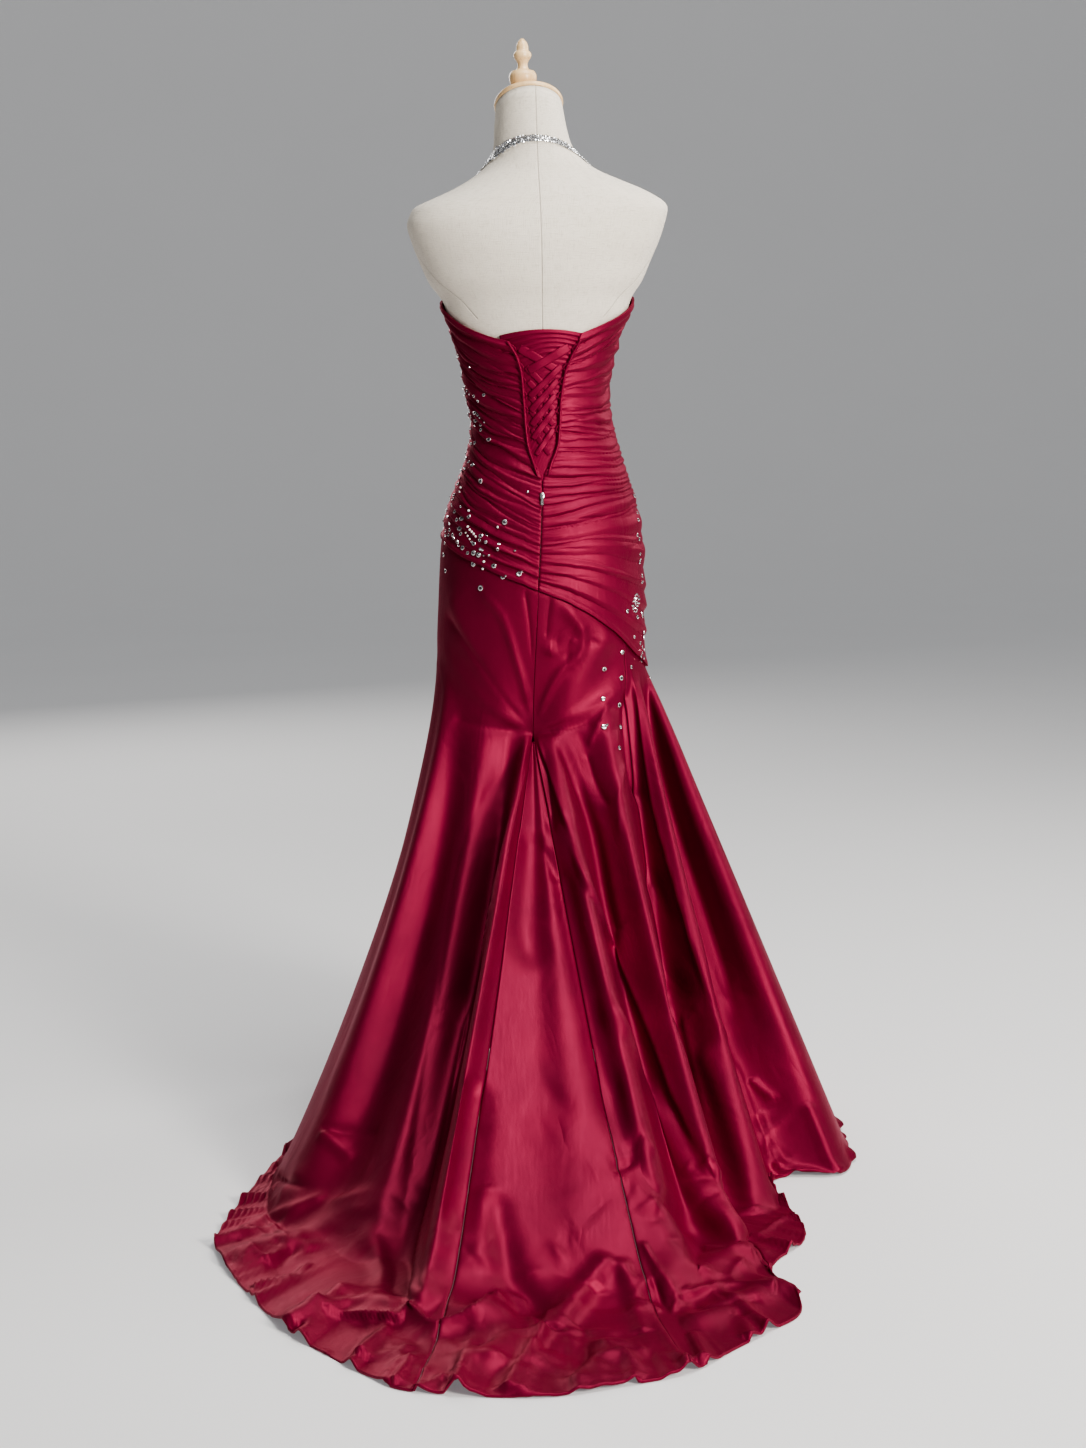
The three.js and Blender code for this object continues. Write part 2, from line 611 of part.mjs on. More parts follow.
// The pull tab lies on the slider's outer face and hangs down along the seam from its pivot.
function pullTab() {
  const half = PULL_TAB.width / 2;
  const neck = PULL_TAB.neckWidth / 2;
  const outline = new THREE.Shape();
  outline.moveTo(neck, PULL_TAB.overPivot);
  outline.lineTo(-neck, PULL_TAB.overPivot);
  outline.absarc(0, -PULL_TAB.length, half, Math.PI, 2 * Math.PI);
  outline.closePath();
  const plate = { depth: PULL_TAB.wall, bevelEnabled: false, curveSegments: 6 };
  const tab = new THREE.Mesh(new THREE.ExtrudeGeometry(outline, plate), colours.steel);
  tab.name = "zip_pull_tab";
  tab.rotation.x = Math.PI / 2;
  tab.position.set(0, SLIDER.depth / 2 + PULL_TAB.gap + PULL_TAB.wall, PULL_TAB.pivotRise);
  return tab;
}

// Skirt ---------------------------------------------------------------------------

// One column of the meridian table between its rows, round the skirt.
function meridianValue(u, column) {
  const count = MERIDIANS.length - 1; // the last row repeats the first
  const i = Math.min(Math.floor(u), count - 1);
  const row = (n) => {
    const whole = Math.floor(n / count);
    const value = MERIDIANS[wrap(n, count)][column];
    return column === "deg" ? value + whole * 360 : value;
  };
  return throughFour(row(i - 1), row(i), row(i + 1), row(i + 2), u - i);
}

// Lifts of the sheath's drag folds and of the dimple at the kick point.
function sheathLift(deg, z) {
  const around = (d) => wrap(d + 180, 360) - 180;
  const arc = (d) => around(d) * CLOTH_PER_DEGREE;
  const pinch = ridge(around(deg), KICK_DIMPLE.deg) * ridge(z - KICK_HEIGHT, KICK_DIMPLE.height);
  let lift = -KICK_DIMPLE.depth * pinch;
  for (const fold of DRAG_FOLDS) {
    const away = fromLine(arc(deg), z, arc(fold.deg0), fold.z0, arc(fold.deg1), fold.z1);
    lift += fold.lift * ridge(away, fold.width);
  }
  return lift;
}

// Points of one meridian from the drop waist, or from the kick point, to the hem.
function meridianLine(u, isGodet) {
  const deg = isGodet ? 0 : meridianValue(u, "deg");
  const top = isGodet ? KICK_HEIGHT : meridianValue(u, "top");
  const hem = new THREE.Vector2(meridianValue(u, "x"), meridianValue(u, "y"));
  const touch = Math.min(meridianValue(u, "touch"), 1);
  const bow = meridianValue(u, "bow");
  const flare = meridianValue(u, "flare");
  const line = [];
  if (!isGodet) {
    let edge = 0;
    for (let pass = 0; pass < 4; pass++) edge = dropWaist(deg + seamTurn(edge || top));
    for (const z of spread(edge - TOP_SEAM_GAP, top, PROFILE_STEPS.sheath))
      line.push(gownPoint(deg + seamTurn(z), z, sheathLift(deg, z)));
    line.pop();
  }
  const start = gownPoint(deg + seamTurn(top), top, sheathLift(deg, top));
  const run = new THREE.Vector2(hem.x - start.x, hem.y - start.y);
  for (const s of spread(0, 1, PROFILE_STEPS.fall)) {
    const out = touch * s ** flare;
    const z = FLOOR_LIFT + (top - FLOOR_LIFT) * (1 - s) ** bow;
    line.push(new THREE.Vector3(start.x + run.x * out, start.y + run.y * out, z));
  }
  if (touch < 0.999)
    for (const s of spread(0, 1, PROFILE_STEPS.floor).slice(1)) {
      const out = mix(touch, 1, s);
      line.push(new THREE.Vector3(start.x + run.x * out, start.y + run.y * out, FLOOR_LIFT));
    }
  return line;
}

// Point at a share of a line's length.
function alongLine(line, share) {
  const lengths = [0];
  for (let i = 1; i < line.length; i++)
    lengths.push(lengths[i - 1] + line[i].distanceTo(line[i - 1]));
  const target = share * lengths[lengths.length - 1];
  let i = 1;
  while (i < line.length - 1 && lengths[i] < target) i++;
  const t = (target - lengths[i - 1]) / (lengths[i] - lengths[i - 1] || 1);
  return line[i - 1].clone().lerp(line[i], t);
}

// Folds of the cloth near the floor lift it.
function floorLift(point) {
  const low = THREE.MathUtils.clamp(1 - point.z / FOLD_FADE, 0, 1);
  let lift = 0;
  for (const fold of FLOOR_FOLDS) {
    const away = fromLine(point.x, point.y, fold.x0, fold.y0, fold.x1, fold.y1);
    lift += fold.lift * ridge(away, fold.width);
  }
  return lift * low;
}

const lineCache = new Map();

function skirtSurface(isGodet) {
  return (u, v) => {
    const key = (isGodet ? "g" : "s") + u.toFixed(5);
    if (!lineCache.has(key)) lineCache.set(key, meridianLine(u, isGodet));
    const point = alongLine(lineCache.get(key), v);
    point.z += floorLift(point);
    return point;
  };
}

function addSkirt() {
  for (const panel of SKIRT_PANELS) {
    const isGodet = panel.name === "skirt_godet";
    const across = spread(panel.from, panel.to, (panel.to - panel.from) * panel.columns);
    const down = spread(panel.start, 1, panel.rows);
    const cloth = clothPanel(skirtSurface(isGodet), across, down, { trim: panel.trim });
    addPiece(panel.name, cloth, colours.satin);
  }
}

// Dress form ------------------------------------------------------------------------

// A closed solid through rings of points, each ring with the same count.
function loft(rings) {
  const count = rings[0].length;
  const positions = rings.flat().flatMap((p) => [p.x, p.y, p.z]);
  const index = [];
  for (let r = 0; r < rings.length - 1; r++)
    for (let i = 0; i < count; i++) {
      const a = r * count + i;
      const b = r * count + ((i + 1) % count);
      index.push(a, b, b + count, a, b + count, a + count);
    }
  const last = (rings.length - 1) * count;
  for (let i = 1; i < count - 1; i++) {
    index.push(0, i + 1, i);
    index.push(last, last + i, last + i + 1);
  }
  return solidGeometry(positions, index);
}

const FORM_SIDES = 32;
const FORM_FOOT = 10; // rounding of the torso's lower edge
const LOW_HEIGHTS = [790, 820, 850, 886, 932, 978, 1023, 1065, 1110, 1160, 1200, 1227, 1250];

// All sections of the form: the gown's own, moved in, then the bare ones above it.
const formRows = LOW_HEIGHTS.map((z) => {
  const gown = gownSection(z);
  return {
    z,
    x: gown.x,
    y: 0,
    half: gown.half - FORM_INSET,
    back: gown.back - FORM_INSET,
    front: gown.front - FORM_INSET,
  };
}).concat(FORM_SECTIONS);
const ringAngles = spread(0, 360, FORM_SIDES).slice(0, FORM_SIDES);

// The neck's oval top ring, tilted down to the front, at a distance along its own axis.
function neckTopRing(out, rise) {
  const tilt = radians(NECK_TOP.tiltDeg);
  return ringAngles.map((deg) => {
    const across = (NECK_TOP.half + out) * Math.sin(radians(deg));
    const depth = (NECK_TOP.depth + out) * Math.cos(radians(deg));
    return new THREE.Vector3(
      NECK_TOP.x + across,
      NECK_TOP.y + depth * Math.cos(tilt) - rise * Math.sin(tilt),
      NECK_TOP.z + depth * Math.sin(tilt) + rise * Math.cos(tilt),
    );
  });
}

function addForm() {
  const rings = formRows.map((row) => ringAngles.map((deg) => sectionPoint(row, deg, row.z, 0)));
  const foot = formRows[0];
  const footRing = (deg) => sectionPoint(foot, deg, foot.z - FORM_FOOT, -FORM_FOOT);
  rings.unshift(ringAngles.map(footRing));
  rings.push(neckTopRing(0, 0));
  addPiece("form_torso", loft(rings), colours.linen);

  const cap = [
    neckTopRing(0, CAP_GAP),
    neckTopRing(CAP_RIM, CAP_GAP + CAP_THICK * 0.25),
    neckTopRing(CAP_RIM, CAP_GAP + CAP_THICK * 0.75),
    neckTopRing(-1, CAP_GAP + CAP_THICK),
  ];
  addPiece("form_neck_cap", loft(cap), colours.maple);

  const profile = FINIAL_PROFILE.map((row) => new THREE.Vector2(row.r, row.z));
  profile.unshift(new THREE.Vector2(0, 0));
  profile.push(new THREE.Vector2(0, FINIAL_PROFILE.at(-1).z + 1.5));
  const finial = new THREE.Mesh(new THREE.LatheGeometry(profile, 20), colours.maple);
  finial.name = "form_finial";
  finial.rotation.x = Math.PI / 2;
  finial.position.copy(finialFoot());
  model.add(finial);
}

// The finial stands upright on the sloping cap, so its foot clears the cap's raised back.
function finialFoot() {
  const tilt = radians(NECK_TOP.tiltDeg);
  const capTop = NECK_TOP.z + (CAP_GAP + CAP_THICK) / Math.cos(tilt);
  const slope = (FINIAL_FOOT.y - NECK_TOP.y + FINIAL_PROFILE[0].r) * Math.tan(tilt);
  return new THREE.Vector3(FINIAL_FOOT.x, FINIAL_FOOT.y, capTop + slope + STAND_GAP);
}

function addStand() {
  const postTop = LOW_HEIGHTS[0] - FORM_FOOT - STAND_GAP;
  const postFoot = BASE_HEIGHT + STAND_GAP;
  const post = new THREE.CylinderGeometry(POST_RADIUS, POST_RADIUS, postTop - postFoot, 20);
  const postMesh = new THREE.Mesh(post, colours.maple);
  postMesh.name = "stand_post";
  postMesh.rotation.x = Math.PI / 2;
  postMesh.position.z = (postTop + postFoot) / 2;
  model.add(postMesh);
  const profile = [
    [0, 0],
    [BASE_RADIUS - 3, 0],
    [BASE_RADIUS, 3],
    [BASE_RADIUS, BASE_HEIGHT - 7],
    [BASE_RADIUS - 8, BASE_HEIGHT],
    [0, BASE_HEIGHT],
  ].map(([r, z]) => new THREE.Vector2(r, z));
  const base = new THREE.Mesh(new THREE.LatheGeometry(profile, 36), colours.maple);
  base.name = "stand_base";
  base.rotation.x = Math.PI / 2;
  model.add(base);
}

// Halter strap ----------------------------------------------------------------------

function strapPlace(share) {
  const at = share * (STRAP_ROUTE.length - 1);
  const i = Math.min(Math.floor(at), STRAP_ROUTE.length - 2);
  const row = (n) => STRAP_ROUTE[THREE.MathUtils.clamp(n, 0, STRAP_ROUTE.length - 1)];
  const read = (column) =>
    throughFour(row(i - 1)[column], row(i)[column], row(i + 1)[column], row(i + 2)[column], at - i);
  return { deg: read("deg"), z: read("z"), width: read("width") };
}

// A point on the form between its sections, and its outward normal there.
function formPoint(deg, z) {
  const i = Math.max(formRows.findIndex((row) => row.z > z) - 1, 0);
  const t = (z - formRows[i].z) / (formRows[i + 1].z - formRows[i].z);
  return sectionPoint(formRows[i], deg, z, 0).lerp(sectionPoint(formRows[i + 1], deg, z, 0), t);
}

function formNormal(deg, z) {
  const along = formPoint(deg + 1, z).sub(formPoint(deg - 1, z));
  const up = formPoint(deg, z + 6).sub(formPoint(deg, z - 6));
  return up.cross(along).normalize();
}

function addStrap() {
  const route = [];
  const normals = [];
  const widths = [];
  for (const share of spread(0, 1, STRAP_STEPS)) {
    const place = strapPlace(share);
    const normal = formNormal(place.deg, place.z);
    route.push(formPoint(place.deg, place.z).addScaledVector(normal, STRAP_SEAT + STRAP_WALL));
    normals.push(normal);
    widths.push(place.width);
  }
  addPiece("halter_strap", ribbon(route, normals, widths, STRAP_WALL), colours.crystal);
}

addBodice();
addModestyPanel();
addLacing();
addPiping("left");
addPiping("right");
addZip();
addSkirt();
addForm();
addStand();
addStrap();

export default model;
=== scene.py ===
import math
import bpy
import numpy as np
from mathutils import Matrix, Vector
from mathutils.bvhtree import BVHTree


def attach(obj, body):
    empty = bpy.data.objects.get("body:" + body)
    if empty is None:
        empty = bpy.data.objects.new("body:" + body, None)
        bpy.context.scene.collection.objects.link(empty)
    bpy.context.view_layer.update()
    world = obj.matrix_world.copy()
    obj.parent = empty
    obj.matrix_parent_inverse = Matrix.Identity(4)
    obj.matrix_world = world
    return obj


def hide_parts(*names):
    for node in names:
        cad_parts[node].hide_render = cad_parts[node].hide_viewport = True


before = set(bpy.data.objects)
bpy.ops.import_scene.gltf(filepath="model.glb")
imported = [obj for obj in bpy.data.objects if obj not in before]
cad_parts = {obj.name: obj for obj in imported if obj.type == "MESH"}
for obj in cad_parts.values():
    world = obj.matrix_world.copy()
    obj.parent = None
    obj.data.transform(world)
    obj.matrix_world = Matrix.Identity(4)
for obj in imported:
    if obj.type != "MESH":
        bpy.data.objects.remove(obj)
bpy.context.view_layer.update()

# A mermaid evening gown with a laced, ruched back and a long train, on a limbless dress form.
# Shapes are worked out in millimetres and meshes are made in metres. Angles run round the body in
# degrees from the middle of the back over the wearer's left, so 90 is +X and 180 is the front.
metre = 0.001
up = np.array([0.0, 0.0, 1.0])
gownBody = "gown_on_form"
tabBody = "pull_tab"


# camera

picture = {"width": 1086, "height": 1448, "focal": 2340}
standpoint = {"distance": 3.6, "height": 1.10, "yaw": 5.0, "pitch": 7.9, "roll": 1.2, "aim": -0.12}


def cameraAxes():
    around = math.radians(180 - standpoint["yaw"])
    place = np.array([math.sin(around), -math.cos(around), 0]) * standpoint["distance"]
    place[2] = standpoint["height"]
    pitch = math.radians(standpoint["pitch"])
    level = np.array([-math.sin(around), math.cos(around), 0])
    ahead = level * math.cos(pitch) - up * math.sin(pitch)
    side = np.cross(ahead, up)
    side /= np.linalg.norm(side)
    aim = math.radians(standpoint["aim"])
    ahead = ahead * math.cos(aim) + side * math.sin(aim)
    side = np.cross(ahead, up)
    side /= np.linalg.norm(side)
    above = np.cross(side, ahead)
    roll = math.radians(standpoint["roll"])
    right = side * math.cos(roll) - above * math.sin(roll)
    high = above * math.cos(roll) + side * math.sin(roll)
    return place, ahead, right, high


eye, eyeAhead, eyeRight, eyeUp = cameraAxes()


def makeCamera():
    data = bpy.data.cameras.new("camera")
    data.sensor_fit = "AUTO"
    data.sensor_width = 36
    data.lens = picture["focal"] / picture["height"] * data.sensor_width
    camera = bpy.data.objects.new("camera", data)
    bpy.context.scene.collection.objects.link(camera)
    turn = Matrix([[*row] for row in np.stack([eyeRight, eyeUp, -eyeAhead], 1)])
    camera.matrix_world = Matrix.Translation(eye) @ turn.to_4x4()
    bpy.context.scene.camera = camera


def sightLine(x, y):
    # direction from the camera through a place in its frame
    away = eyeAhead + eyeRight * (x - picture["width"] / 2) / picture["focal"]
    away = away - eyeUp * (y - picture["height"] / 2) / picture["focal"]
    return away / np.linalg.norm(away)


makeCamera()
print("camera placed")


# curves and tables

def mix(a, b, t):
    return a + (b - a) * t


def smoothStep(x, low, high):
    t = np.clip((x - low) / (high - low), 0, 1)
    return t * t * (3 - 2 * t)


def hump(distance, width):
    return np.exp(-((distance / width) ** 2))


def throughTwo(a, b, slopeA, slopeB, t):
    # a smooth curve from a to b that has a given slope at each
    t2 = t * t
    t3 = t2 * t
    ends = (2 * t3 - 3 * t2 + 1) * a + (3 * t2 - 2 * t3) * b
    return ends + (t3 - 2 * t2 + t) * slopeA + (t3 - t2) * slopeB


def throughFour(a, b, c, d, t):
    # the middle stretch of a smooth curve through four evenly spaced values
    return throughTwo(b, c, (c - a) / 2, (d - b) / 2, t)


def lookUp(keys, values, at):
    # a smooth curve through a table, keys rising
    keys = np.asarray(keys, float)
    values = np.asarray(values, float)
    at = np.clip(at, keys[0], keys[-1])
    last = len(keys) - 1
    i = np.clip(np.searchsorted(keys, at) - 1, 0, last - 1)
    t = (at - keys[i]) / (keys[i + 1] - keys[i])
    pick = [values[np.clip(i + n, 0, last)] for n in (-1, 0, 1, 2)]
    return throughFour(*pick, t)


def lookRound(table, deg):
    # the same for a table that closes round the body
    keys = np.array([row[0] for row in table], float)
    values = np.array([row[1] for row in table], float)
    at = np.mod(deg, 360)
    i = np.searchsorted(keys, at, side="right") - 1
    count = len(keys)
    span = np.mod(keys[(i + 1) % count] - keys[i], 360)
    pick = [values[(i + n) % count] for n in (-1, 0, 1, 2)]
    return throughFour(*pick, (at - keys[i]) / span)


def unit(vectors):
    length = np.linalg.norm(vectors, axis=-1, keepdims=True)
    return vectors / np.maximum(length, 1e-9)


def curveThrough(points, count):
    # count places on a smooth curve through a few points
    points = np.asarray(points, float)
    share = np.linspace(0, len(points) - 1, count)
    return np.stack([lookUp(np.arange(len(points)), column, share) for column in points.T], 1)


def runLength(line):
    # length along a line up to each of its points
    return np.concatenate([[0], np.cumsum(np.linalg.norm(np.diff(line, axis=0), axis=1))])


def fromBack(deg):
    # an angle as -180 to 180 from the middle of the back
    return (deg + 180) % 360 - 180


# the dressed body

# cross-sections: height, middle, half width, depth to the back and to the front
bodySections = np.array([
    (600, 8, 172, 113, 112),
    (700, 8, 162, 115, 98),
    (747, 7, 161, 118, 97),
    (793, 5, 160, 121, 98),
    (840, 4, 158, 121, 99),
    (886, 3, 155, 117, 100),
    (932, 2, 148, 109, 98),
    (978, 0, 132, 97, 93),
    (1023, -2, 117, 86, 87),
    (1065, 0, 109, 81, 84),
    (1110, 5, 110, 80, 87),
    (1160, 5, 119, 83, 97),
    (1200, 5, 130, 87, 113),
    (1227, 3, 142, 90, 118),
    (1250, 3, 149, 93, 114),
    (1275, 3, 160, 97, 106),
], float)
neckline = [
    (0, 1180), (33, 1192), (60, 1213), (90, 1243), (122, 1258), (148, 1268),
    (180, 1238), (212, 1268), (238, 1260), (270, 1248), (300, 1222), (328, 1199),
]
dropWaist = [
    (0, 816), (14, 833), (40, 862), (90, 900), (135, 880), (180, 815),
    (225, 735), (270, 692), (300, 716), (321, 756), (345, 796),
]
centreSeam = [(600, 33), (830, 20), (965, 10), (1250, 5)]

# the open V of the laced back: height, left edge and right edge
lacingV = [
    (975, 11, 5), (1000, 17, -1), (1030, 25, -13), (1060, 28, -17), (1100, 30, -20),
    (1140, 33, -27), (1165, 40, -38), (1182, 50, -48), (1200, 62, -56),
]
vBottom = 975
vBlend = 30


def bodySection(z):
    # middle, half width, depth to the back and to the front at a height
    return [lookUp(bodySections[:, 0], column, z) for column in bodySections.T[1:]]


def bodyPoint(deg, z, out=0.0):
    deg, z, out = np.broadcast_arrays(*(np.asarray(value, float) for value in (deg, z, out)))
    x, half, back, front = bodySection(z)
    angle = np.radians(deg)
    depth = np.where(np.cos(angle) > 0, back, front)
    normal = unit(np.stack([np.sin(angle) / half, np.cos(angle) / depth], -1))
    return np.stack([
        x + half * np.sin(angle) + normal[..., 0] * out,
        depth * np.cos(angle) + normal[..., 1] * out,
        z,
    ], -1)


def backAngle(x, z):
    middle, half = bodySection(z)[:2]
    return np.degrees(np.arcsin((x - middle) / half))


def seamTurn(z):
    heights, xs = zip(*centreSeam)
    return backAngle(lookUp(heights, xs, z), z)


def vEdge(side, z):
    column = 1 if side == "left" else 2
    return lookUp([row[0] for row in lacingV], [row[column] for row in lacingV], z)


def backEdge(side, z):
    # angle of a back's inner edge: the side of the V, and below it the centre seam
    blend = np.clip((z - vBottom) / vBlend, 0, 1)
    return mix(seamTurn(z), backAngle(vEdge(side, z), z), blend)


# meshes

def meshFrom(name, points, loops, sizes, uv=None, flat=None, wrap=0):
    # a mesh from arrays: points in millimetres, corner indices, corners per face; wrap is how far the
    # cloth coordinates of a tube run round it
    mesh = bpy.data.meshes.new(name)
    points = np.asarray(points, np.float32).reshape(-1, 3) * metre
    loops = np.asarray(loops, np.int32).ravel()
    sizes = np.asarray(sizes, np.int32)
    mesh.vertices.add(len(points))
    mesh.vertices.foreach_set("co", points.ravel())
    mesh.loops.add(len(loops))
    mesh.loops.foreach_set("vertex_index", loops)
    mesh.polygons.add(len(sizes))
    mesh.polygons.foreach_set("loop_start", np.concatenate([[0], np.cumsum(sizes)[:-1]]).astype(np.int32))
    mesh.polygons.foreach_set("loop_total", sizes)
    smooth = np.ones(len(sizes), bool)
    if flat is not None:
        smooth[flat] = False
    mesh.polygons.foreach_set("use_smooth", smooth)
    if uv is not None:
        corners = np.asarray(uv, np.float32).reshape(-1, 2)[loops]
        if wrap:
            starts = np.concatenate([[0], np.cumsum(sizes)[:-1]])
            highest = np.repeat(np.maximum.reduceat(corners[:, 0], starts), sizes)
            corners[:, 0] += wrap * (highest - corners[:, 0] > wrap / 2)
        layer = mesh.uv_layers.new(name="cloth")
        layer.data.foreach_set("uv", corners.ravel())
    mesh.update(calc_edges=True)
    mesh.validate()
    return mesh


def addPiece(name, mesh, materials, replaces=(), body=gownBody):
    piece = bpy.data.objects.new(name, mesh)
    bpy.context.scene.collection.objects.link(piece)
    for material in materials if isinstance(materials, (list, tuple)) else [materials]:
        mesh.materials.append(material)
    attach(piece, body)
    if replaces:
        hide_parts(*replaces)
    return piece


def gridQuads(columns, rows, first=0, roundU=False):
    # corner indices of a grid stored column by column
    a = np.arange(columns if roundU else columns - 1)
    b = np.arange(rows - 1)
    i, j = np.meshgrid(a, b, indexing="ij")
    k = (i + 1) % columns
    quads = np.stack([i * rows + j, i * rows + j + 1, k * rows + j + 1, k * rows + j], -1)
    return first + quads.reshape(-1, 4)


def shellMesh(name, outer, inner, uv):
    # a closed shell between two grids of the same size
    columns, rows = outer.shape[:2]
    count = columns * rows
    face = gridQuads(columns, rows)[:, ::-1]
    back = gridQuads(columns, rows, count)
    index = np.arange(count).reshape(columns, rows)
    border = np.concatenate([index[0, :], index[1:, -1], index[-1, -2::-1], index[-2:0:-1, 0]])
    after = np.roll(border, -1)
    rim = np.stack([border, after, after + count, border + count], -1)
    quads = np.concatenate([face, back, rim])
    points = np.concatenate([outer.reshape(-1, 3), inner.reshape(-1, 3)])
    flat = np.arange(len(face) + len(back), len(quads))
    both = np.concatenate([uv.reshape(-1, 2)] * 2)
    return meshFrom(name, points, quads, np.full(len(quads), 4), both, flat)


def gridNormals(points):
    across = np.gradient(points, axis=0)
    down = np.gradient(points, axis=1)
    return unit(np.cross(across, down))


def gridUv(points):
    # cloth coordinates in metres, along the middle of the panel and down each column
    down = np.linalg.norm(np.diff(points, axis=1), axis=2)
    fall = np.concatenate([np.zeros((len(points), 1)), np.cumsum(down, 1)], 1)
    across = np.linalg.norm(np.diff(points, axis=0), axis=2)
    width = np.concatenate([np.zeros((1, points.shape[1])), np.cumsum(across, 0)])
    width = width - width[-1] / 2
    return np.stack([width, fall], -1) * metre


def cappedRings(columns, rows, clockwise=False):
    # corner indices and face sizes of rings stored column by column and closed at both ends
    quads = gridQuads(columns, rows, roundU=True)
    first = np.arange(columns) * rows
    ends = [first, first[::-1] + rows - 1]
    if not clockwise:
        quads = quads[:, ::-1]
        ends = [end[::-1] for end in ends]
    sizes = np.concatenate([np.full(len(quads), 4), [columns, columns]])
    return np.concatenate([quads.ravel(), *ends]), sizes


def tubeMesh(path, radius, sides=8, squeeze=1.0, normals=None, boxy=1.0):
    # a tube of a given radius at each point of a path, squeezed flat along its normals if wanted;
    # boxy below 1 gives it flat faces
    path = np.asarray(path, float)
    count = len(path)
    radius = np.broadcast_to(np.asarray(radius, float), count)
    along = unit(np.gradient(path, axis=0))
    if normals is None:
        normals = np.tile(up, (count, 1)) + np.array([0.01, 0.02, 0])
    sideways = unit(np.cross(along, normals))
    outwards = unit(np.cross(sideways, along))
    angle = np.linspace(0, 2 * math.pi, sides, endpoint=False)
    ring = sideways[:, None] * np.cos(angle)[None, :, None]
    rise = np.sign(np.sin(angle)) * np.abs(np.sin(angle)) ** boxy * squeeze
    ring = ring + outwards[:, None] * rise[None, :, None]
    points = (path[:, None] + ring * radius[:, None, None]).transpose(1, 0, 2)
    return points.reshape(-1, 3), *cappedRings(sides, count, clockwise=True)


def joinMeshes(parts):
    # several (points, loops, sizes) as one
    points, loops, sizes = [], [], []
    first = 0
    for part in parts:
        points.append(part[0])
        loops.append(np.asarray(part[1]).ravel() + first)
        sizes.append(np.asarray(part[2]))
        first += len(part[0])
    return np.concatenate(points), np.concatenate(loops), np.concatenate(sizes)


def turnedSolid(profile, sides, at=(0, 0, 0)):
    # a solid of revolution from (height, radius) rows
    profile = np.asarray(profile, float)
    angle = np.linspace(0, 2 * math.pi, sides, endpoint=False)
    rows = len(profile)
    points = np.empty((sides, rows, 3))
    points[..., 0] = at[0] + profile[None, :, 1] * np.cos(angle)[:, None]
    points[..., 1] = at[1] + profile[None, :, 1] * np.sin(angle)[:, None]
    points[..., 2] = at[2] + profile[None, :, 0]
    return points.reshape(-1, 3), *cappedRings(sides, rows)


def addSolid(name, part, material, uv=None, sharp=None, body=gownBody):
    # a piece from (points, loops, sizes) that stands for the node of its name; sharp is the angle in
    # degrees from which its edges are left sharp
    piece = addPiece(name, meshFrom(name, *part, uv), material, [name], body)
    if sharp is not None:
        piece.data.set_sharp_from_angle(angle=math.radians(sharp))
    return piece


def searchTree(grids):
    # a search tree over some grids of points, and the points of each
    corners, quads, first = [], [], 0
    for grid in grids:
        quads.append(gridQuads(*grid.shape[:2], first=first))
        corners.append(grid.reshape(-1, 3))
        first += len(corners[-1])
    tree = BVHTree.FromPolygons(np.concatenate(corners).tolist(), np.concatenate(quads).tolist())
    return tree, corners


# skirt

floorLift = 2.7
kickHeight = 600
topTuck = 6  # the skirt's upper edge runs on under the bodice
clothThick = 1.1

# meridians round the skirt: angle and height where each leaves the body, its hem on the floor, the share
# of its run where it touches down, how round the fall is and how late it flares
meridians = [
    (0, 600, -53, 1077, 0.79, 1.15, 1),
    (0, 600, 31, 1104, 0.78, 1.16, 1),
    (0, 600, 130, 1120, 0.77, 1.18, 1.02),
    (0, 600, 262, 1086, 0.79, 1.12, 1),
    (3, 603, 305, 1046, 0.82, 1.08, 0.96),
    (12, 613, 352, 980, 0.68, 1.32, 1.36),
    (26, 638, 408, 892, 0.73, 1.25, 1.25),
    (42, 662, 456, 772, 0.74, 1.25, 1.4),
    (56, 683, 495, 653, 0.8, 1.15, 1.25),
    (67, 694, 505, 545, 0.82, 1.12, 1.42),
    (78, 700, 448, 300, 0.93, 1.04, 1.42),
    (92, 700, 376, 60, 1, 1, 1.46),
    (122, 700, 300, -140, 1, 1, 1.6),
    (150, 700, 160, -262, 1, 1, 1.5),
    (180, 700, 0, -292, 1, 1, 1.55),
    (208, 690, -165, -262, 1, 1, 1.45),
    (232, 690, -310, -140, 1, 1, 1.4),
    (254, 685, -388, 60, 1, 1, 1.2),
    (264, 680, -404, 260, 1, 1, 1.02),
    (272, 680, -376, 422, 1, 1, 1),
    (281, 683, -268, 446, 0.97, 1.05, 1.35),
    (291, 686, -270, 660, 0.84, 1.15, 1.1),
    (305, 680, -204, 774, 0.7, 1.3, 1.4),
    (323, 655, -214, 912, 0.76, 1.2, 1.12),
    (339, 630, -162, 975, 0.7, 1.3, 1.3),
    (351, 607, -116, 1018, 0.8, 1.1, 0.97),
    (360, 600, -53, 1077, 0.79, 1.15, 1),
]

# large folds of the cloth on the floor: ends in plan, half width and height
floorFolds = [
    (290, 848, 160, 905, 34, 20),
    (60, 880, 180, 1010, 30, 14),
    (340, 560, 470, 640, 36, 14),
    (330, 800, 400, 870, 26, 12),
    (-170, 720, -60, 850, 30, 16),
    (-190, 850, -90, 935, 24, 12),
    (20, 1000, 70, 1085, 24, 10),
]
foldFade = 160

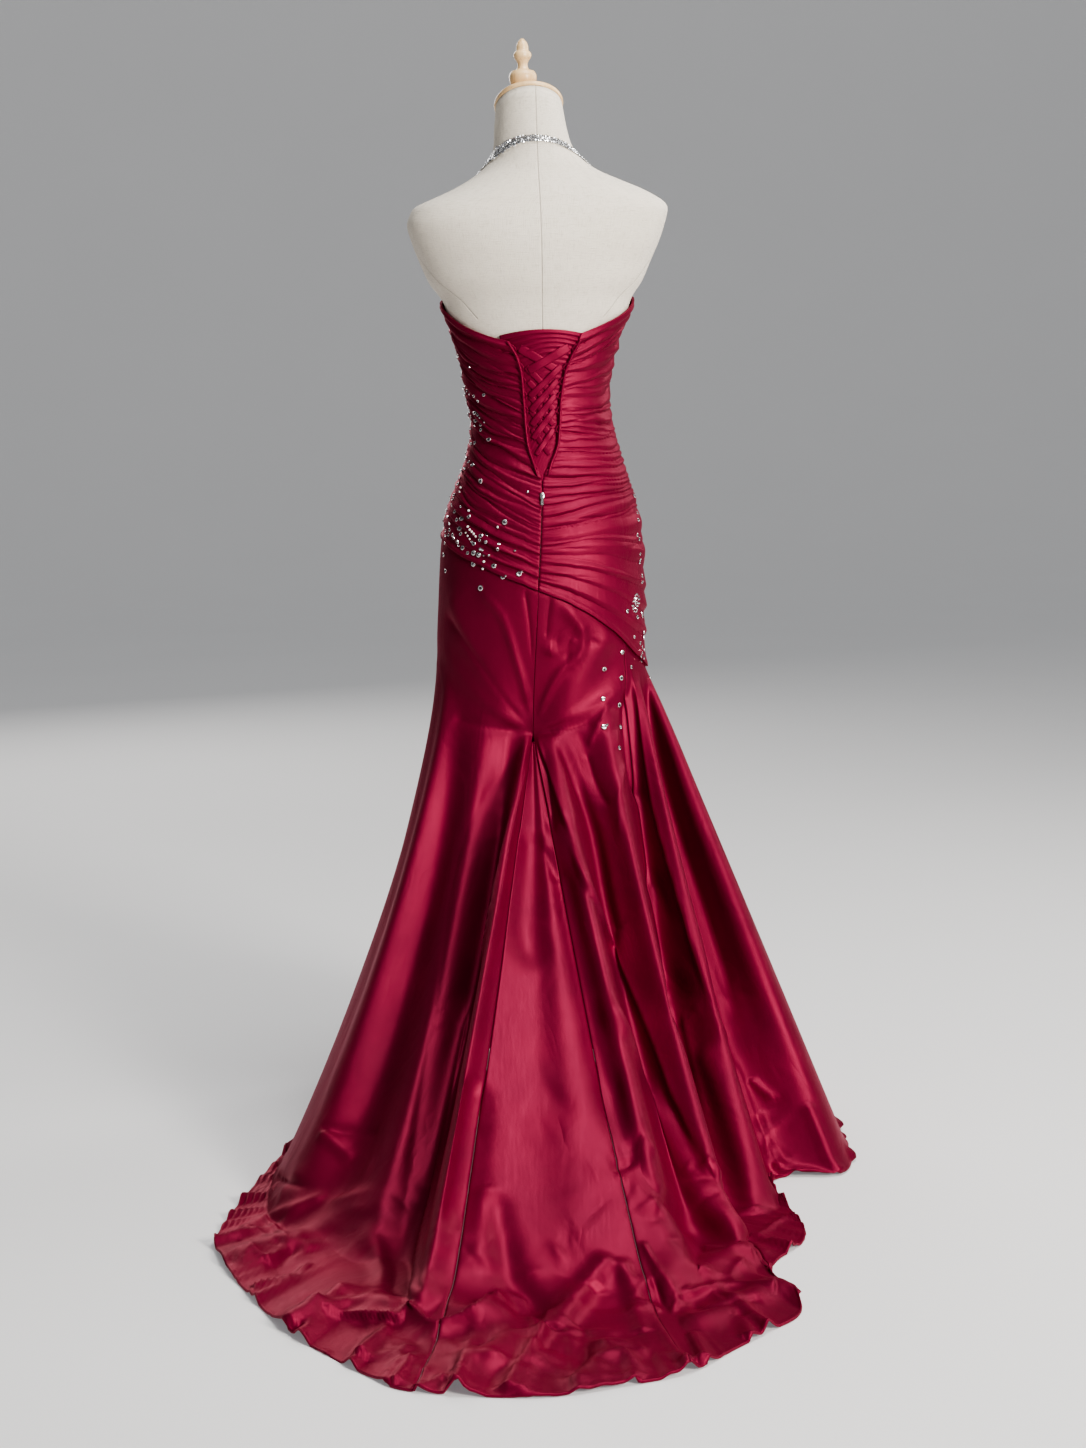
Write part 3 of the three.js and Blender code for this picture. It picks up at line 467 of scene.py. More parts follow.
# drag folds of the sheath that radiate from the kick point: angle and height of each end, half width
# and lift
dragFolds = [
    (6, 612, 52, 800, 30, 4),
    (8, 606, 72, 668, 30, 3),
    (354, 612, 322, 736, 22, 6),
    (352, 606, 310, 668, 24, 5),
]
kickDimple = {"depth": 16, "deg": 13, "height": 70}
clothPerDegree = 2.6
fallLook = {"sheathRows": 60, "airRows": 240, "floorRows": 60, "tuckDepth": 2.2, "allOnFloor": 0.999}
seamLook = {"near": 4, "reach": 6, "block": 400}  # how seams share their normals

# panels: first and last meridian, columns and rows, the cut, and the share of its length that a panel
# starts at, when it isn't the whole
skirtPanels = {
    "skirt_godet": {"between": (0, 3), "grid": (72, 300), "cut": (0.36, 1.12), "area": 0.196, "start": 0.012},
    "skirt_back_left": {"between": (3, 11), "grid": (136, 316), "cut": (1.02, 1.36), "area": 0.63},
    "skirt_front": {"between": (11, 17), "grid": (76, 160), "cut": (1.04, 0.92), "area": 0.58},
    "skirt_pleats_right": {"between": (17, 22), "grid": (92, 300), "cut": (0.78, 1.12), "area": 0.36},
    "skirt_back_right": {"between": (22, 26), "grid": (100, 316), "cut": (0.52, 1.26), "area": 0.345},
}


def fromLine(px, py, x0, y0, x1, y1):
    length = (x1 - x0) ** 2 + (y1 - y0) ** 2
    t = np.clip(((px - x0) * (x1 - x0) + (py - y0) * (y1 - y0)) / length, 0, 1)
    return np.hypot(px - mix(x0, x1, t), py - mix(y0, y1, t))


def meridianValue(u, column):
    count = len(meridians) - 1
    i = min(int(u), count - 1)

    def row(n):
        value = meridians[n % count][column]
        return value + 360 * (n // count) if column == 0 else value

    return throughFour(row(i - 1), row(i), row(i + 1), row(i + 2), u - i)


def sheathLift(deg, z):
    around = fromBack(deg)
    pinch = hump(around, kickDimple["deg"]) * hump(z - kickHeight, kickDimple["height"])
    lift = -kickDimple["depth"] * pinch
    for deg0, z0, deg1, z1, width, height in dragFolds:
        ends = [fromBack(end) * clothPerDegree for end in (deg0, deg1)]
        away = fromLine(around * clothPerDegree, z, ends[0], z0, ends[1], z1)
        lift = lift + height * hump(away, width)
    return lift


def meridianLine(u, isGodet, rows, start):
    # one meridian from the drop waist, or from the kick point, to the hem
    deg = 0 if isGodet else meridianValue(u, 0)
    top, hemX, hemY, touch, bow, flare = (meridianValue(u, n) for n in range(1, 7))
    top = kickHeight if isGodet else top
    touch = min(touch, 1)
    look = fallLook
    parts = []
    if not isGodet:
        edge = top
        for _ in range(4):
            edge = lookRound(dropWaist, deg + seamTurn(edge))
        z = np.linspace(edge + topTuck, top, look["sheathRows"])[:-1]
        tuck = look["tuckDepth"] * smoothStep(z, edge - 14, edge - 2)
        lift = sheathLift(deg, z) * smoothStep(z, edge + 8, edge - 30)
        parts.append(bodyPoint(deg + seamTurn(z), z, lift - tuck))
    leave = bodyPoint(deg + seamTurn(top), top, sheathLift(deg, top))

    def outwards(share, z):
        return np.stack([mix(leave[0], hemX, share), mix(leave[1], hemY, share), z], -1)

    s = np.linspace(0, 1, look["airRows"])
    parts.append(outwards(touch * s ** flare, floorLift + (top - floorLift) * (1 - s) ** bow))
    if touch < look["allOnFloor"]:
        out = mix(touch, 1, np.linspace(0, 1, look["floorRows"])[1:])
        parts.append(outwards(out, np.full(len(out), floorLift)))
    line = np.concatenate(parts)
    length = runLength(line)
    at = np.linspace(start, 1, rows) * length[-1]
    return np.stack([np.interp(at, length, line[:, n]) for n in range(3)], 1)


def raiseFloorFolds(points):
    low = np.clip(1 - points[..., 2] / foldFade, 0, 1)
    lift = 0
    for x0, y0, x1, y1, width, height in floorFolds:
        lift = lift + height * hump(fromLine(points[..., 0], points[..., 1], x0, y0, x1, y1), width)
    points[..., 2] += lift * low


def layPanel(panel, isGodet):
    columns, rows = panel["grid"]
    across = np.linspace(*panel["between"], columns + 1)
    points = np.stack([meridianLine(u, isGodet, rows + 1, panel.get("start", 0)) for u in across])
    raiseFloorFolds(points)
    return points


def meetAtSeams(normals, points):
    # neighbouring panels share the normals of their seams, so that folds run on across them
    edges = [(name, column) for name in points for column in (0, -1)]
    places = np.concatenate([points[name][column] for name, column in edges])
    facing = np.concatenate([normals[name][column] for name, column in edges])
    met = facing.copy()
    for first in range(0, len(places), seamLook["block"]):
        block = slice(first, first + seamLook["block"])
        near = np.linalg.norm(places[block, None] - places[None], axis=2) < seamLook["near"]
        met[block] = unit(near.astype(float) @ facing)
    count = 0
    for name, column in edges:
        rows = len(points[name][0])
        shared = met[count:count + rows]
        count += rows
        for n in range(seamLook["reach"]):
            index = n if column == 0 else -1 - n
            weight = (1 - n / seamLook["reach"]) ** 2
            normals[name][index] = unit(mix(normals[name][index], shared, weight))


# materials

def fillSocket(tree, socket, value):
    if isinstance(value, bpy.types.NodeSocket):
        tree.links.new(value, socket)
    else:
        socket.default_value = value


def addNode(tree, kind, values=None, **settings):
    # a shader node; values are numbers or colours, or sockets to link
    node = tree.nodes.new(kind)
    for key, value in settings.items():
        setattr(node, key, value)
    for key, value in (values or {}).items():
        fillSocket(tree, node.inputs[key], value)
    return node


def mathNode(tree, operation, a, b=0.0, c=0.0, clamp=False):
    node = addNode(tree, "ShaderNodeMath", {0: a, 1: b, 2: c}, operation=operation, use_clamp=clamp)
    return node.outputs[0]


def rangeNode(tree, value, low, high, toLow=0.0, toHigh=1.0):
    node = addNode(tree, "ShaderNodeMapRange", {0: value, 1: low, 2: high, 3: toLow, 4: toHigh})
    return node.outputs[0]


def noiseNode(tree, vector, scale, detail=2.0, rough=0.5, distortion=0.0):
    values = {"Vector": vector, "Scale": scale, "Detail": detail, "Roughness": rough}
    return addNode(tree, "ShaderNodeTexNoise", {**values, "Distortion": distortion}).outputs[0]


def stretch(tree, vector, scale):
    return addNode(tree, "ShaderNodeMapping", {"Vector": vector, "Scale": scale}).outputs[0]


def mixColour(tree, factor, a, b):
    node = addNode(tree, "ShaderNodeMix", data_type="RGBA")
    sockets = [s for s in node.inputs if s.enabled]
    for socket, value in zip(sockets, (factor, a, b)):
        fillSocket(tree, socket, value)
    return [s for s in node.outputs if s.enabled][0]


def newGroup(name, inputs, outputs):
    # a node group with named inputs (name, kind, default) and outputs (name, kind)
    tree = bpy.data.node_groups.new(name, "ShaderNodeTree")
    for label, kind, default in inputs:
        socket = tree.interface.new_socket(label, in_out="INPUT", socket_type=kind)
        if default is not None:
            socket.default_value = default
    for label, kind in outputs:
        tree.interface.new_socket(label, in_out="OUTPUT", socket_type=kind)
    start = tree.nodes.new("NodeGroupInput")
    end = tree.nodes.new("NodeGroupOutput")
    return tree, start.outputs, end.inputs


def useGroup(tree, group, values):
    return addNode(tree, "ShaderNodeGroup", values, node_tree=group).outputs


def vectorNode(tree, operation, a, b):
    return addNode(tree, "ShaderNodeVectorMath", {0: a, 1: b}, operation=operation).outputs


def addBump(tree, shader, height, distance, strength=1.0):
    values = {"Height": height, "Strength": strength, "Distance": distance}
    tree.links.new(addNode(tree, "ShaderNodeBump", values).outputs[0], shader["Normal"])


def weaveGroup():
    # crossing threads at a given count per metre, with uneven thickness
    tree, given, result = newGroup(
        "weave",
        [
            ("Vector", "NodeSocketVector", None), ("Threads", "NodeSocketFloat", 900.0),
            ("Uneven", "NodeSocketFloat", 0.3),
        ],
        [("Height", "NodeSocketFloat"), ("Fleck", "NodeSocketFloat")],
    )
    flat = addNode(tree, "ShaderNodeSeparateXYZ", {0: given["Vector"]}).outputs
    slub = noiseNode(tree, given["Vector"], 160.0, 3.0)
    wander = mathNode(tree, "MULTIPLY", slub, given["Uneven"])
    threads = []
    for axis in (0, 1):
        place = mathNode(tree, "MULTIPLY", flat[axis], given["Threads"])
        place = mathNode(tree, "ADD", place, wander)
        threads.append(mathNode(tree, "PINGPONG", place, 1.0))
    height = mathNode(tree, "MULTIPLY", threads[0], threads[1])
    tree.links.new(height, result["Height"])
    fleck = noiseNode(tree, given["Vector"], 900.0, 1.0)
    tree.links.new(rangeNode(tree, fleck, 0.35, 0.68), result["Fleck"])
    return tree


def grainGroup():
    # wood grain along one axis: broad figure and fine pores
    tree, given, result = newGroup(
        "grain",
        [("Vector", "NodeSocketVector", None), ("Rings", "NodeSocketFloat", 24.0)],
        [("Figure", "NodeSocketFloat"), ("Pores", "NodeSocketFloat")],
    )
    along = stretch(tree, given["Vector"], (1.0, 1.0, 0.12))
    bend = noiseNode(tree, along, 9.0, 3.0, 0.6, 0.6)
    rings = mathNode(tree, "MULTIPLY", bend, given["Rings"])
    tree.links.new(mathNode(tree, "PINGPONG", rings, 1.0), result["Figure"])
    pores = noiseNode(tree, stretch(tree, given["Vector"], (1.0, 1.0, 0.04)), 420.0, 2.0)
    tree.links.new(rangeNode(tree, pores, 0.55, 0.75), result["Pores"])
    return tree


def newMaterial(name, settings):
    material = bpy.data.materials.new(name)
    material.use_nodes = True
    tree = material.node_tree
    shader = tree.nodes["Principled BSDF"]
    for key, value in settings.items():
        shader.inputs[key].default_value = value
    return material, tree, shader.inputs


def clothPlace(tree):
    return addNode(tree, "ShaderNodeTexCoord").outputs["UV"]


def partPlace(tree):
    return addNode(tree, "ShaderNodeTexCoord").outputs["Object"]


def satinMaterial(name, look):
    material, tree, shader = newMaterial(name, {
        "Roughness": look["rough"], "Specular IOR Level": look["specular"], "Specular Tint": look["tint"],
        "Sheen Weight": look["sheen"], "Sheen Roughness": 0.45, "Sheen Tint": look["sheenTint"],
        "Metallic": look["metal"], "Anisotropic": look["anisotropic"],
    })
    place = clothPlace(tree)
    weave = useGroup(tree, weaveGroupTree, {"Vector": place, "Threads": look["threads"], "Uneven": 0.5})
    cloud = noiseNode(tree, place, 7.0, 4.0, 0.55)
    colour = mixColour(tree, rangeNode(tree, cloud, 0.3, 0.7), look["deep"], look["colour"])
    colour = mixColour(tree, mathNode(tree, "MULTIPLY", weave["Fleck"], look["fleck"]), colour, look["light"])
    tree.links.new(colour, shader["Base Color"])
    streak = noiseNode(tree, stretch(tree, place, (260.0, 18.0, 1.0)), 1.0, 3.0, 0.6)
    rough = rangeNode(tree, streak, 0.3, 0.7, look["rough"] - 0.04, look["rough"] + 0.05)
    tree.links.new(rough, shader["Roughness"])
    pucker = noiseNode(tree, place, 46.0, 3.0, 0.55, 0.4)
    height = mathNode(tree, "MULTIPLY", weave["Height"], look["weave"])
    height = mathNode(tree, "MULTIPLY_ADD", pucker, look["pucker"], height)
    height = mathNode(tree, "MULTIPLY_ADD", streak, look["weave"] * 0.5, height)
    crease = noiseNode(tree, stretch(tree, place, (15.0, 8.0, 1.0)), 1.0, 1.5, 0.5, 1.4)
    crease = mathNode(tree, "ABSOLUTE", mathNode(tree, "SUBTRACT", crease, 0.5))
    crushed = rangeNode(tree, noiseNode(tree, place, 5.5, 2.0), 0.42, 0.62, 0.12, 1.0)
    crease = mathNode(tree, "MULTIPLY", crease, crushed)
    height = mathNode(tree, "MULTIPLY_ADD", crease, look["crush"], height)
    addBump(tree, shader, height, 0.001)
    return material


def seamMark(tree, place, seam):
    # how near a place is to a seam, a straight line on the flat cover from one point to another
    (x0, y0), (x1, y1) = seam["from"], seam["to"]
    length = math.hypot(x1 - x0, y1 - y0)
    ahead = ((x1 - x0) / length, (y1 - y0) / length)
    flat = vectorNode(tree, "SUBTRACT", place, (x0, y0, 0))[0]
    beside, along = (
        vectorNode(tree, "DOT_PRODUCT", flat, axis)[1] for axis in ((ahead[1], -ahead[0], 0), (*ahead, 0))
    )
    away = mathNode(tree, "ABSOLUTE", beside)
    inside = mathNode(tree, "COMPARE", along, length / 2, length / 2)
    return mathNode(tree, "MULTIPLY", rangeNode(tree, away, 0.0, seam["width"], 1.0, 0.0), inside)


def linenMaterial(look):
    material, tree, shader = newMaterial("linen", {
        "Roughness": 0.92, "Specular IOR Level": 0.25, "Sheen Weight": 0.25, "Sheen Roughness": 0.6,
        "Sheen Tint": (1, 0.97, 0.92, 1),
    })
    place = clothPlace(tree)
    weave = useGroup(tree, weaveGroupTree, {"Vector": place, "Threads": look["threads"], "Uneven": 1.6})
    cloud = rangeNode(tree, noiseNode(tree, place, 5.0, 5.0, 0.6), 0.3, 0.75)
    colour = mixColour(tree, cloud, look["colour"], look["aged"])
    threads = ((60.0, 900.0, 1.0), (900.0, 60.0, 1.0))
    slubs = [noiseNode(tree, stretch(tree, place, scale), 1.0, 2.0, 0.6) for scale in threads]
    slub = mathNode(tree, "ADD", *[rangeNode(tree, s, 0.5, 0.8) for s in slubs])
    colour = mixColour(tree, mathNode(tree, "MULTIPLY", slub, 0.6, clamp=True), colour, look["dark"])
    colour = mixColour(tree, mathNode(tree, "MULTIPLY", weave["Fleck"], 0.28), colour, look["light"])
    height = mathNode(tree, "ADD", *[mathNode(tree, "MULTIPLY", h, 0.35) for h in (weave["Height"], slub)])
    body = addNode(tree, "ShaderNodeSeparateXYZ", {0: partPlace(tree)}).outputs
    upright = addNode(tree, "ShaderNodeCombineXYZ", {0: body[0], 1: body[2]}).outputs[0]
    behind = mathNode(tree, "GREATER_THAN", body[1], 0.0)
    marks = [seamMark(tree, place, seam) for seam in look["seams"]]
    # the back seam is plumb on the form, not along the cloth
    marks.append(mathNode(tree, "MULTIPLY", seamMark(tree, upright, look["backSeam"]), behind))
    for mark in marks:
        colour = mixColour(tree, mathNode(tree, "MULTIPLY", mark, 0.35), colour, look["dark"])
        height = mathNode(tree, "MULTIPLY_ADD", mark, -1.6, height)
    tree.links.new(colour, shader["Base Color"])
    addBump(tree, shader, height, 0.0007)
    return material


def mapleMaterial(look):
    material, tree, shader = newMaterial("maple", {
        "Roughness": 0.38, "Coat Weight": 0.35, "Coat Roughness": 0.22, "Specular IOR Level": 0.45,
    })
    place = partPlace(tree)
    grain = useGroup(tree, grainGroupTree, {"Vector": place, "Rings": 16.0})
    colour = mixColour(tree, mathNode(tree, "MULTIPLY", grain["Figure"], 0.5), look["colour"], look["figure"])
    colour = mixColour(tree, mathNode(tree, "MULTIPLY", grain["Pores"], 0.5), colour, look["pore"])
    tree.links.new(colour, shader["Base Color"])
    tree.links.new(rangeNode(tree, grain["Figure"], 0.0, 1.0, 0.34, 0.46), shader["Roughness"])
    addBump(tree, shader, grain["Pores"], -0.0003, 0.4)
    return material


def metalMaterial(name, colour, rough, scratch=0.06):
    material, tree, shader = newMaterial(name, {"Metallic": 1.0, "Roughness": rough})
    place = partPlace(tree)
    wear = noiseNode(tree, place, 900.0, 3.0, 0.6)
    worn = rangeNode(tree, wear, 0.3, 0.7, max(rough - scratch, 0.02), rough + scratch)
    tree.links.new(worn, shader["Roughness"])
    dark = tuple(0.82 * c for c in colour[:3]) + (1,)
    colour = mixColour(tree, rangeNode(tree, wear, 0.35, 0.7, 0.0, 0.6), colour, dark)
    tree.links.new(colour, shader["Base Color"])
    return material


def pearlMaterial():
    material, tree, shader = newMaterial("pearl", {
        "Roughness": 0.22, "Coat Weight": 0.8, "Coat Roughness": 0.1, "Subsurface Weight": 0.1,
        "Subsurface Scale": 0.002,
    })
    cloud = noiseNode(tree, partPlace(tree), 300.0, 2.0)
    tree.links.new(mixColour(tree, cloud, (0.83, 0.78, 0.74, 1), (0.92, 0.9, 0.88, 1)), shader["Base Color"])
    return material


wine = {
    "colour": (0.19, 0.010, 0.034, 1), "deep": (0.13, 0.006, 0.024, 1), "light": (0.29, 0.026, 0.06, 1),
    "fleck": 0.14, "rough": 0.43, "metal": 0.5, "specular": 0.35, "tint": (1.0, 0.35, 0.45, 1),
    "sheen": 0.05, "sheenTint": (1.0, 0.2, 0.3, 1), "anisotropic": 0.3,
    "threads": 3400.0, "weave": 0.05, "pucker": 0.26, "crush": 3.0,
}
linenLook = {
    "colour": (0.79, 0.72, 0.61, 1), "aged": (0.70, 0.63, 0.52, 1), "dark": (0.47, 0.40, 0.31, 1),
    "light": (0.89, 0.85, 0.77, 1), "threads": 820.0,
    "backSeam": {"from": (0.004, 0.78), "to": (0.003, 1.56), "width": 0.0016},
    "seams": [
        {"from": (0.30, 1.37), "to": (0.13, 1.22), "width": 0.0022},
        {"from": (-0.30, 1.37), "to": (-0.13, 1.22), "width": 0.0022},
        {"from": (0.522, 0.78), "to": (0.522, 1.52), "width": 0.0016},
    ],
}
mapleLook = {"colour": (0.80, 0.56, 0.30, 1), "figure": (0.66, 0.41, 0.19, 1), "pore": (0.45, 0.25, 0.11, 1)}

weaveGroupTree = weaveGroup()
grainGroupTree = grainGroup()
satin = satinMaterial("satin", wine)
linen = linenMaterial(linenLook)
maple = mapleMaterial(mapleLook)
zipMetal = metalMaterial("zipMetal", (0.72, 0.71, 0.70, 1), 0.24)
silver = metalMaterial("silverSetting", (0.83, 0.82, 0.80, 1), 0.2)
crystal = metalMaterial("crystalFacets", (0.95, 0.96, 0.97, 1), 0.07, 0.04)
darkStone = metalMaterial("smokedStone", (0.10, 0.09, 0.10, 1), 0.16)
greyBand = metalMaterial("greyBand", (0.36, 0.35, 0.34, 1), 0.45)
pearl = pearlMaterial()
print("materials made")


# folds of the skirt

# each fold: kind, half width and height at its start, then at its end, and its places in the camera's
# frame. A ridge is round, a crease is sharp, and a pleat rises up to its line and drops on the far side.
skirtFolds = [
    # the sheath above the kick point
    ("ridge", 8, 3.0, 5, 3.5, [(478, 590), (502, 615), (514, 652), (526, 694), (532, 720)]),
    ("crease", 4, -3.0, 3, -1.5, [(524, 588), (527, 605), (530, 628), (532, 660)]),
    ("crease", 5, -2.5, 4, -2.0, [(551, 596), (548, 615), (546, 640)]),
    ("ridge", 10, 4.5, 5, 3.0, [(560, 604), (582, 628), (581, 655), (562, 668), (545, 700), (536, 722)]),
    ("ridge", 16, 3.5, 6, 3.0, [(627, 684), (592, 707), (560, 720), (539, 728)]),
    ("crease", 8, -3.0, 4, -3.5, [(622, 700), (588, 722), (558, 731), (538, 731)]),
    ("ridge", 18, 2.0, 6, 2.0, [(449, 589), (462, 630), (490, 682), (530, 724)]),
    ("ridge", 18, 1.5, 6, 2.0, [(441, 640), (458, 672), (490, 706), (528, 730)]),
    ("crease", 9, -4.0, 4, -3.0, [(445, 612), (472, 652), (505, 700), (530, 727)]),
    ("crease", 10, -3.5, 5, -3.5, [(452, 716), (490, 728), (528, 732)]),
    # ridges of the godet's two seams, and the pleat beside the right one
    ("crease", 3, 5.0, 9, 9.0, [
        (533, 731), (516, 803), (502, 863), (482, 963), (462, 1040), (442, 1149), (424, 1240), (411, 1302),
    ]),
    ("crease", 10, -3.0, 18, -5.0, [
        (528, 742), (497, 780), (458, 850), (442, 960), (430, 1040), (413, 1161), (402, 1250), (406, 1307),
    ]),
    ("crease", 3, 4.0, 5, 6.0, [(534, 733), (544, 784), (551, 820), (554, 850)]),
    ("pleat", 8, 4.0, 16, 9.0, [(535, 731), (554, 784), (568, 828), (572, 834)]),
    ("pleat", 16, 9.0, 22, 8.0, [
        (569, 838), (592, 904), (615, 950), (633, 988), (661, 1057), (676, 1098), (703, 1160), (721, 1195),
    ]),
    ("crease", 8, -5.0, 9, -4.0, [(545, 745), (549, 800), (556, 850), (560, 885)]),
    ("ridge", 15, -7.0, 24, -10.0, [(560, 860), (574, 930), (592, 1006), (608, 1080), (622, 1146)]),
    # soft dents of the godet
    ("ridge", 18, -6.0, 24, -7.0, [(533, 828), (527, 890), (525, 935), (538, 975)]),
    ("ridge", 8, -4.0, 14, -5.0, [(543, 843), (553, 868), (564, 894)]),
    ("ridge", 22, -9.0, 26, -12.0, [(478, 1075), (470, 1130), (466, 1185), (462, 1240)]),
    ("ridge", 16, -6.0, 24, -16.0, [(494, 1185), (500, 1230), (510, 1275), (528, 1300), (541, 1330)]),
    ("ridge", 18, 5.0, 22, 6.0, [(486, 1180), (484, 1230), (484, 1275)]),
    # the dark left back panel
    ("ridge", 34, 2.0, 50, 4.0, [(520, 775), (477, 853), (431, 942), (379, 1045), (345, 1088), (316, 1122)]),
    # the lit panel right of the pleat, and the dark one beside it
    ("ridge", 12, 5.0, 16, 6.0, [(566, 730), (590, 800), (610, 870), (622, 940), (640, 985)]),
    ("ridge", 10, -5.0, 14, -6.0, [(556, 734), (577, 790), (598, 840), (606, 900), (624, 965)]),
    ("crease", 5, 3.5, 5, 3.5, [(609, 703), (597, 728), (587, 750)]),
    ("crease", 5, -3.5, 6, -3.0, [(586, 752), (596, 785), (611, 812)]),
    ("crease", 5, 4.0, 7, 3.0, [(625, 761), (618, 800), (622, 840)]),
    ("ridge", 14, -7.0, 26, -14.0, [(640, 850), (655, 920), (668, 990), (682, 1060)]),
    ("ridge", 16, 8.0, 26, 12.0, [
        (599, 985), (631, 1051), (667, 1133), (692, 1186), (718, 1218), (753, 1240),
    ]),
    ("ridge", 14, -6.0, 24, -9.0, [(606, 1060), (622, 1130), (654, 1187), (690, 1223), (741, 1243)]),
    ("crease", 8, -5.0, 8, -7.0, [(669, 1095), (705, 1164), (731, 1208), (750, 1236)]),
    ("ridge", 20, 9.0, 18, 10.0, [(700, 1040), (722, 1090), (742, 1150), (756, 1215)]),
    ("crease", 6, 4.0, 7, 3.0, [(681, 1008), (696, 1069), (710, 1136)]),
    # pleats let out from the low point of the drop waist
    ("pleat", 7, 5.0, 13, 11.0, [
        (629, 656), (636, 694), (645, 751), (652, 795), (664, 844), (696, 954), (712, 1011),
    ]),
    ("crease", 5, 4.0, 8, 6.0, [(712, 1011), (731, 1051), (749, 1104), (781, 1190)]),
    ("crease", 7, -8.0, 12, -12.0, [(626, 662), (626, 720), (634, 790), (650, 860), (676, 940)]),
    ("crease", 8, -9.0, 20, -16.0, [(638, 664), (652, 730), (668, 800), (692, 880), (718, 960), (742, 1030)]),
    ("ridge", 7, 5.0, 22, 10.0, [
        (643, 666), (655, 703), (674, 751), (692, 805), (726, 890), (756, 970), (786, 1050),
    ]),
    ("crease", 6, 2.5, 9, 5.0, [(667, 808), (703, 926), (728, 1000)]),
    # lower right: the fold that ends in a pinch, and the flare's tip
    ("crease", 5, 6.0, 6, 5.0, [(749, 1079), (765, 1092), (776, 1101)]),
    ("crease", 6, -5.0, 7, -4.0, [(757, 1112), (768, 1140), (786, 1160)]),
    ("crease", 6, 6.0, 9, 8.0, [(806, 1101), (822, 1140), (836, 1176)]),
    ("pleat", 8, 7.0, 10, 8.0, [(758, 1110), (770, 1142), (778, 1168)]),
    ("crease", 5, -6.0, 6, -5.0, [(750, 1238), (772, 1241), (800, 1240)]),
    ("crease", 5, -5.0, 5, -4.0, [(752, 1240), (762, 1254), (772, 1266)]),
    ("crease", 5, 4.0, 6, 5.0, [(758, 1238), (778, 1222), (796, 1217)]),
    # the train on the floor: left side
    ("crease", 5, -6.0, 9, -3.0, [(320, 1128), (345, 1131), (380, 1133)]),
    ("ridge", 9, 6.0, 12, 3.0, [(320, 1131), (338, 1146), (355, 1161)]),
    ("crease", 5, -7.0, 8, -4.0, [(275, 1178), (296, 1184), (318, 1186)]),
    ("ridge", 10, 6.0, 12, 4.0, [(331, 1193), (292, 1210), (261, 1219), (236, 1241)]),
    ("crease", 4, 5.0, 4, 4.0, [(261, 1217), (276, 1229), (290, 1242)]),
    ("crease", 4, 4.0, 5, 3.0, [(238, 1226), (262, 1234), (286, 1240)]),
    ("crease", 5, 3.0, 7, 8.0, [(291, 1246), (280, 1254), (266, 1262)]),
    ("crease", 4, 4.0, 8, 9.0, [(312, 1263), (292, 1278), (273, 1285), (252, 1290)]),
    ("ridge", 8, 4.0, 14, 12.0, [(352, 1284), (319, 1305), (300, 1316), (285, 1326)]),
    ("ridge", 12, -4.0, 22, -10.0, [(370, 1322), (350, 1330), (338, 1346), (326, 1358)]),
    ("crease", 4, 6.0, 12, 12.0, [(391, 1327), (376, 1344), (362, 1360)]),
    ("crease", 5, 5.0, 11, 10.0, [(413, 1357), (404, 1370), (394, 1384)]),
    ("crease", 5, 5.0, 9, 9.0, [(462, 1370), (440, 1381), (418, 1392)]),
    ("crease", 5, 4.0, 10, 9.0, [(466, 1356), (462, 1376), (456, 1398)]),
    ("ridge", 9, 6.0, 14, 6.0, [
        (319, 1309), (350, 1304), (375, 1294), (384, 1277), (375, 1246), (365, 1222),
    ]),
    ("pleat", 14, 7.0, 12, 9.0, [(318, 1311), (345, 1316), (375, 1316), (402, 1321)]),
    # the break where the godet meets the floor
    ("pleat", 16, 15.0, 12, 12.0, [
        (503, 1287), (488, 1304), (467, 1316), (448, 1324), (433, 1328), (420, 1315), (410, 1304),
    ]),
    ("crease", 5, 8.0, 10, 14.0, [
        (498, 1287), (521, 1294), (534, 1318), (539, 1334), (524, 1362), (506, 1394),
    ]),
    ("crease", 7, 7.0, 12, 9.0, [(547, 1304), (544, 1330), (533, 1362), (521, 1396)]),
    ("ridge", 14, 9.0, 14, 6.0, [(613, 1253), (588, 1284), (554, 1325)]),
    ("ridge", 18, -7.0, 20, -5.0, [(598, 1284), (590, 1304), (578, 1324)]),
    ("ridge", 10, 8.0, 14, 5.0, [(618, 1256), (634, 1296), (642, 1333)]),
    ("crease", 6, -6.0, 9, -6.0, [(582, 1320), (585, 1346), (572, 1376)]),
    ("crease", 5, -6.0, 10, -9.0, [(649, 1268), (660, 1296), (674, 1324), (694, 1360)]),
    ("crease", 5, 6.0, 9, 6.0, [(640, 1240), (656, 1266), (679, 1300)]),
    ("crease", 5, 6.0, 5, 5.0, [(679, 1299), (674, 1308), (669, 1318)]),
    ("crease", 5, 7.0, 12, 6.0, [(681, 1298), (715, 1288), (750, 1284), (776, 1285)]),
    ("crease", 6, 4.0, 9, 3.0, [(682, 1297), (692, 1280), (707, 1264)]),
    ("crease", 7, -4.0, 7, -4.0, [(690, 1312), (720, 1304), (760, 1298)]),
    ("ridge", 8, 5.0, 12, 12.0, [(690, 1330), (700, 1352), (706, 1364)]),
    ("ridge", 10, 3.0, 14, 9.0, [(626, 1350), (632, 1372), (636, 1386)]),
    ("ridge", 10, 4.0, 12, 10.0, [(742, 1316), (748, 1332), (752, 1340)]),
    ("crease", 6, 5.0, 8, 3.0, [(745, 1258), (730, 1275), (735, 1284)]),
    ("ridge", 10, 5.0, 12, 4.0, [(700, 1248), (724, 1246), (752, 1250)]),
]

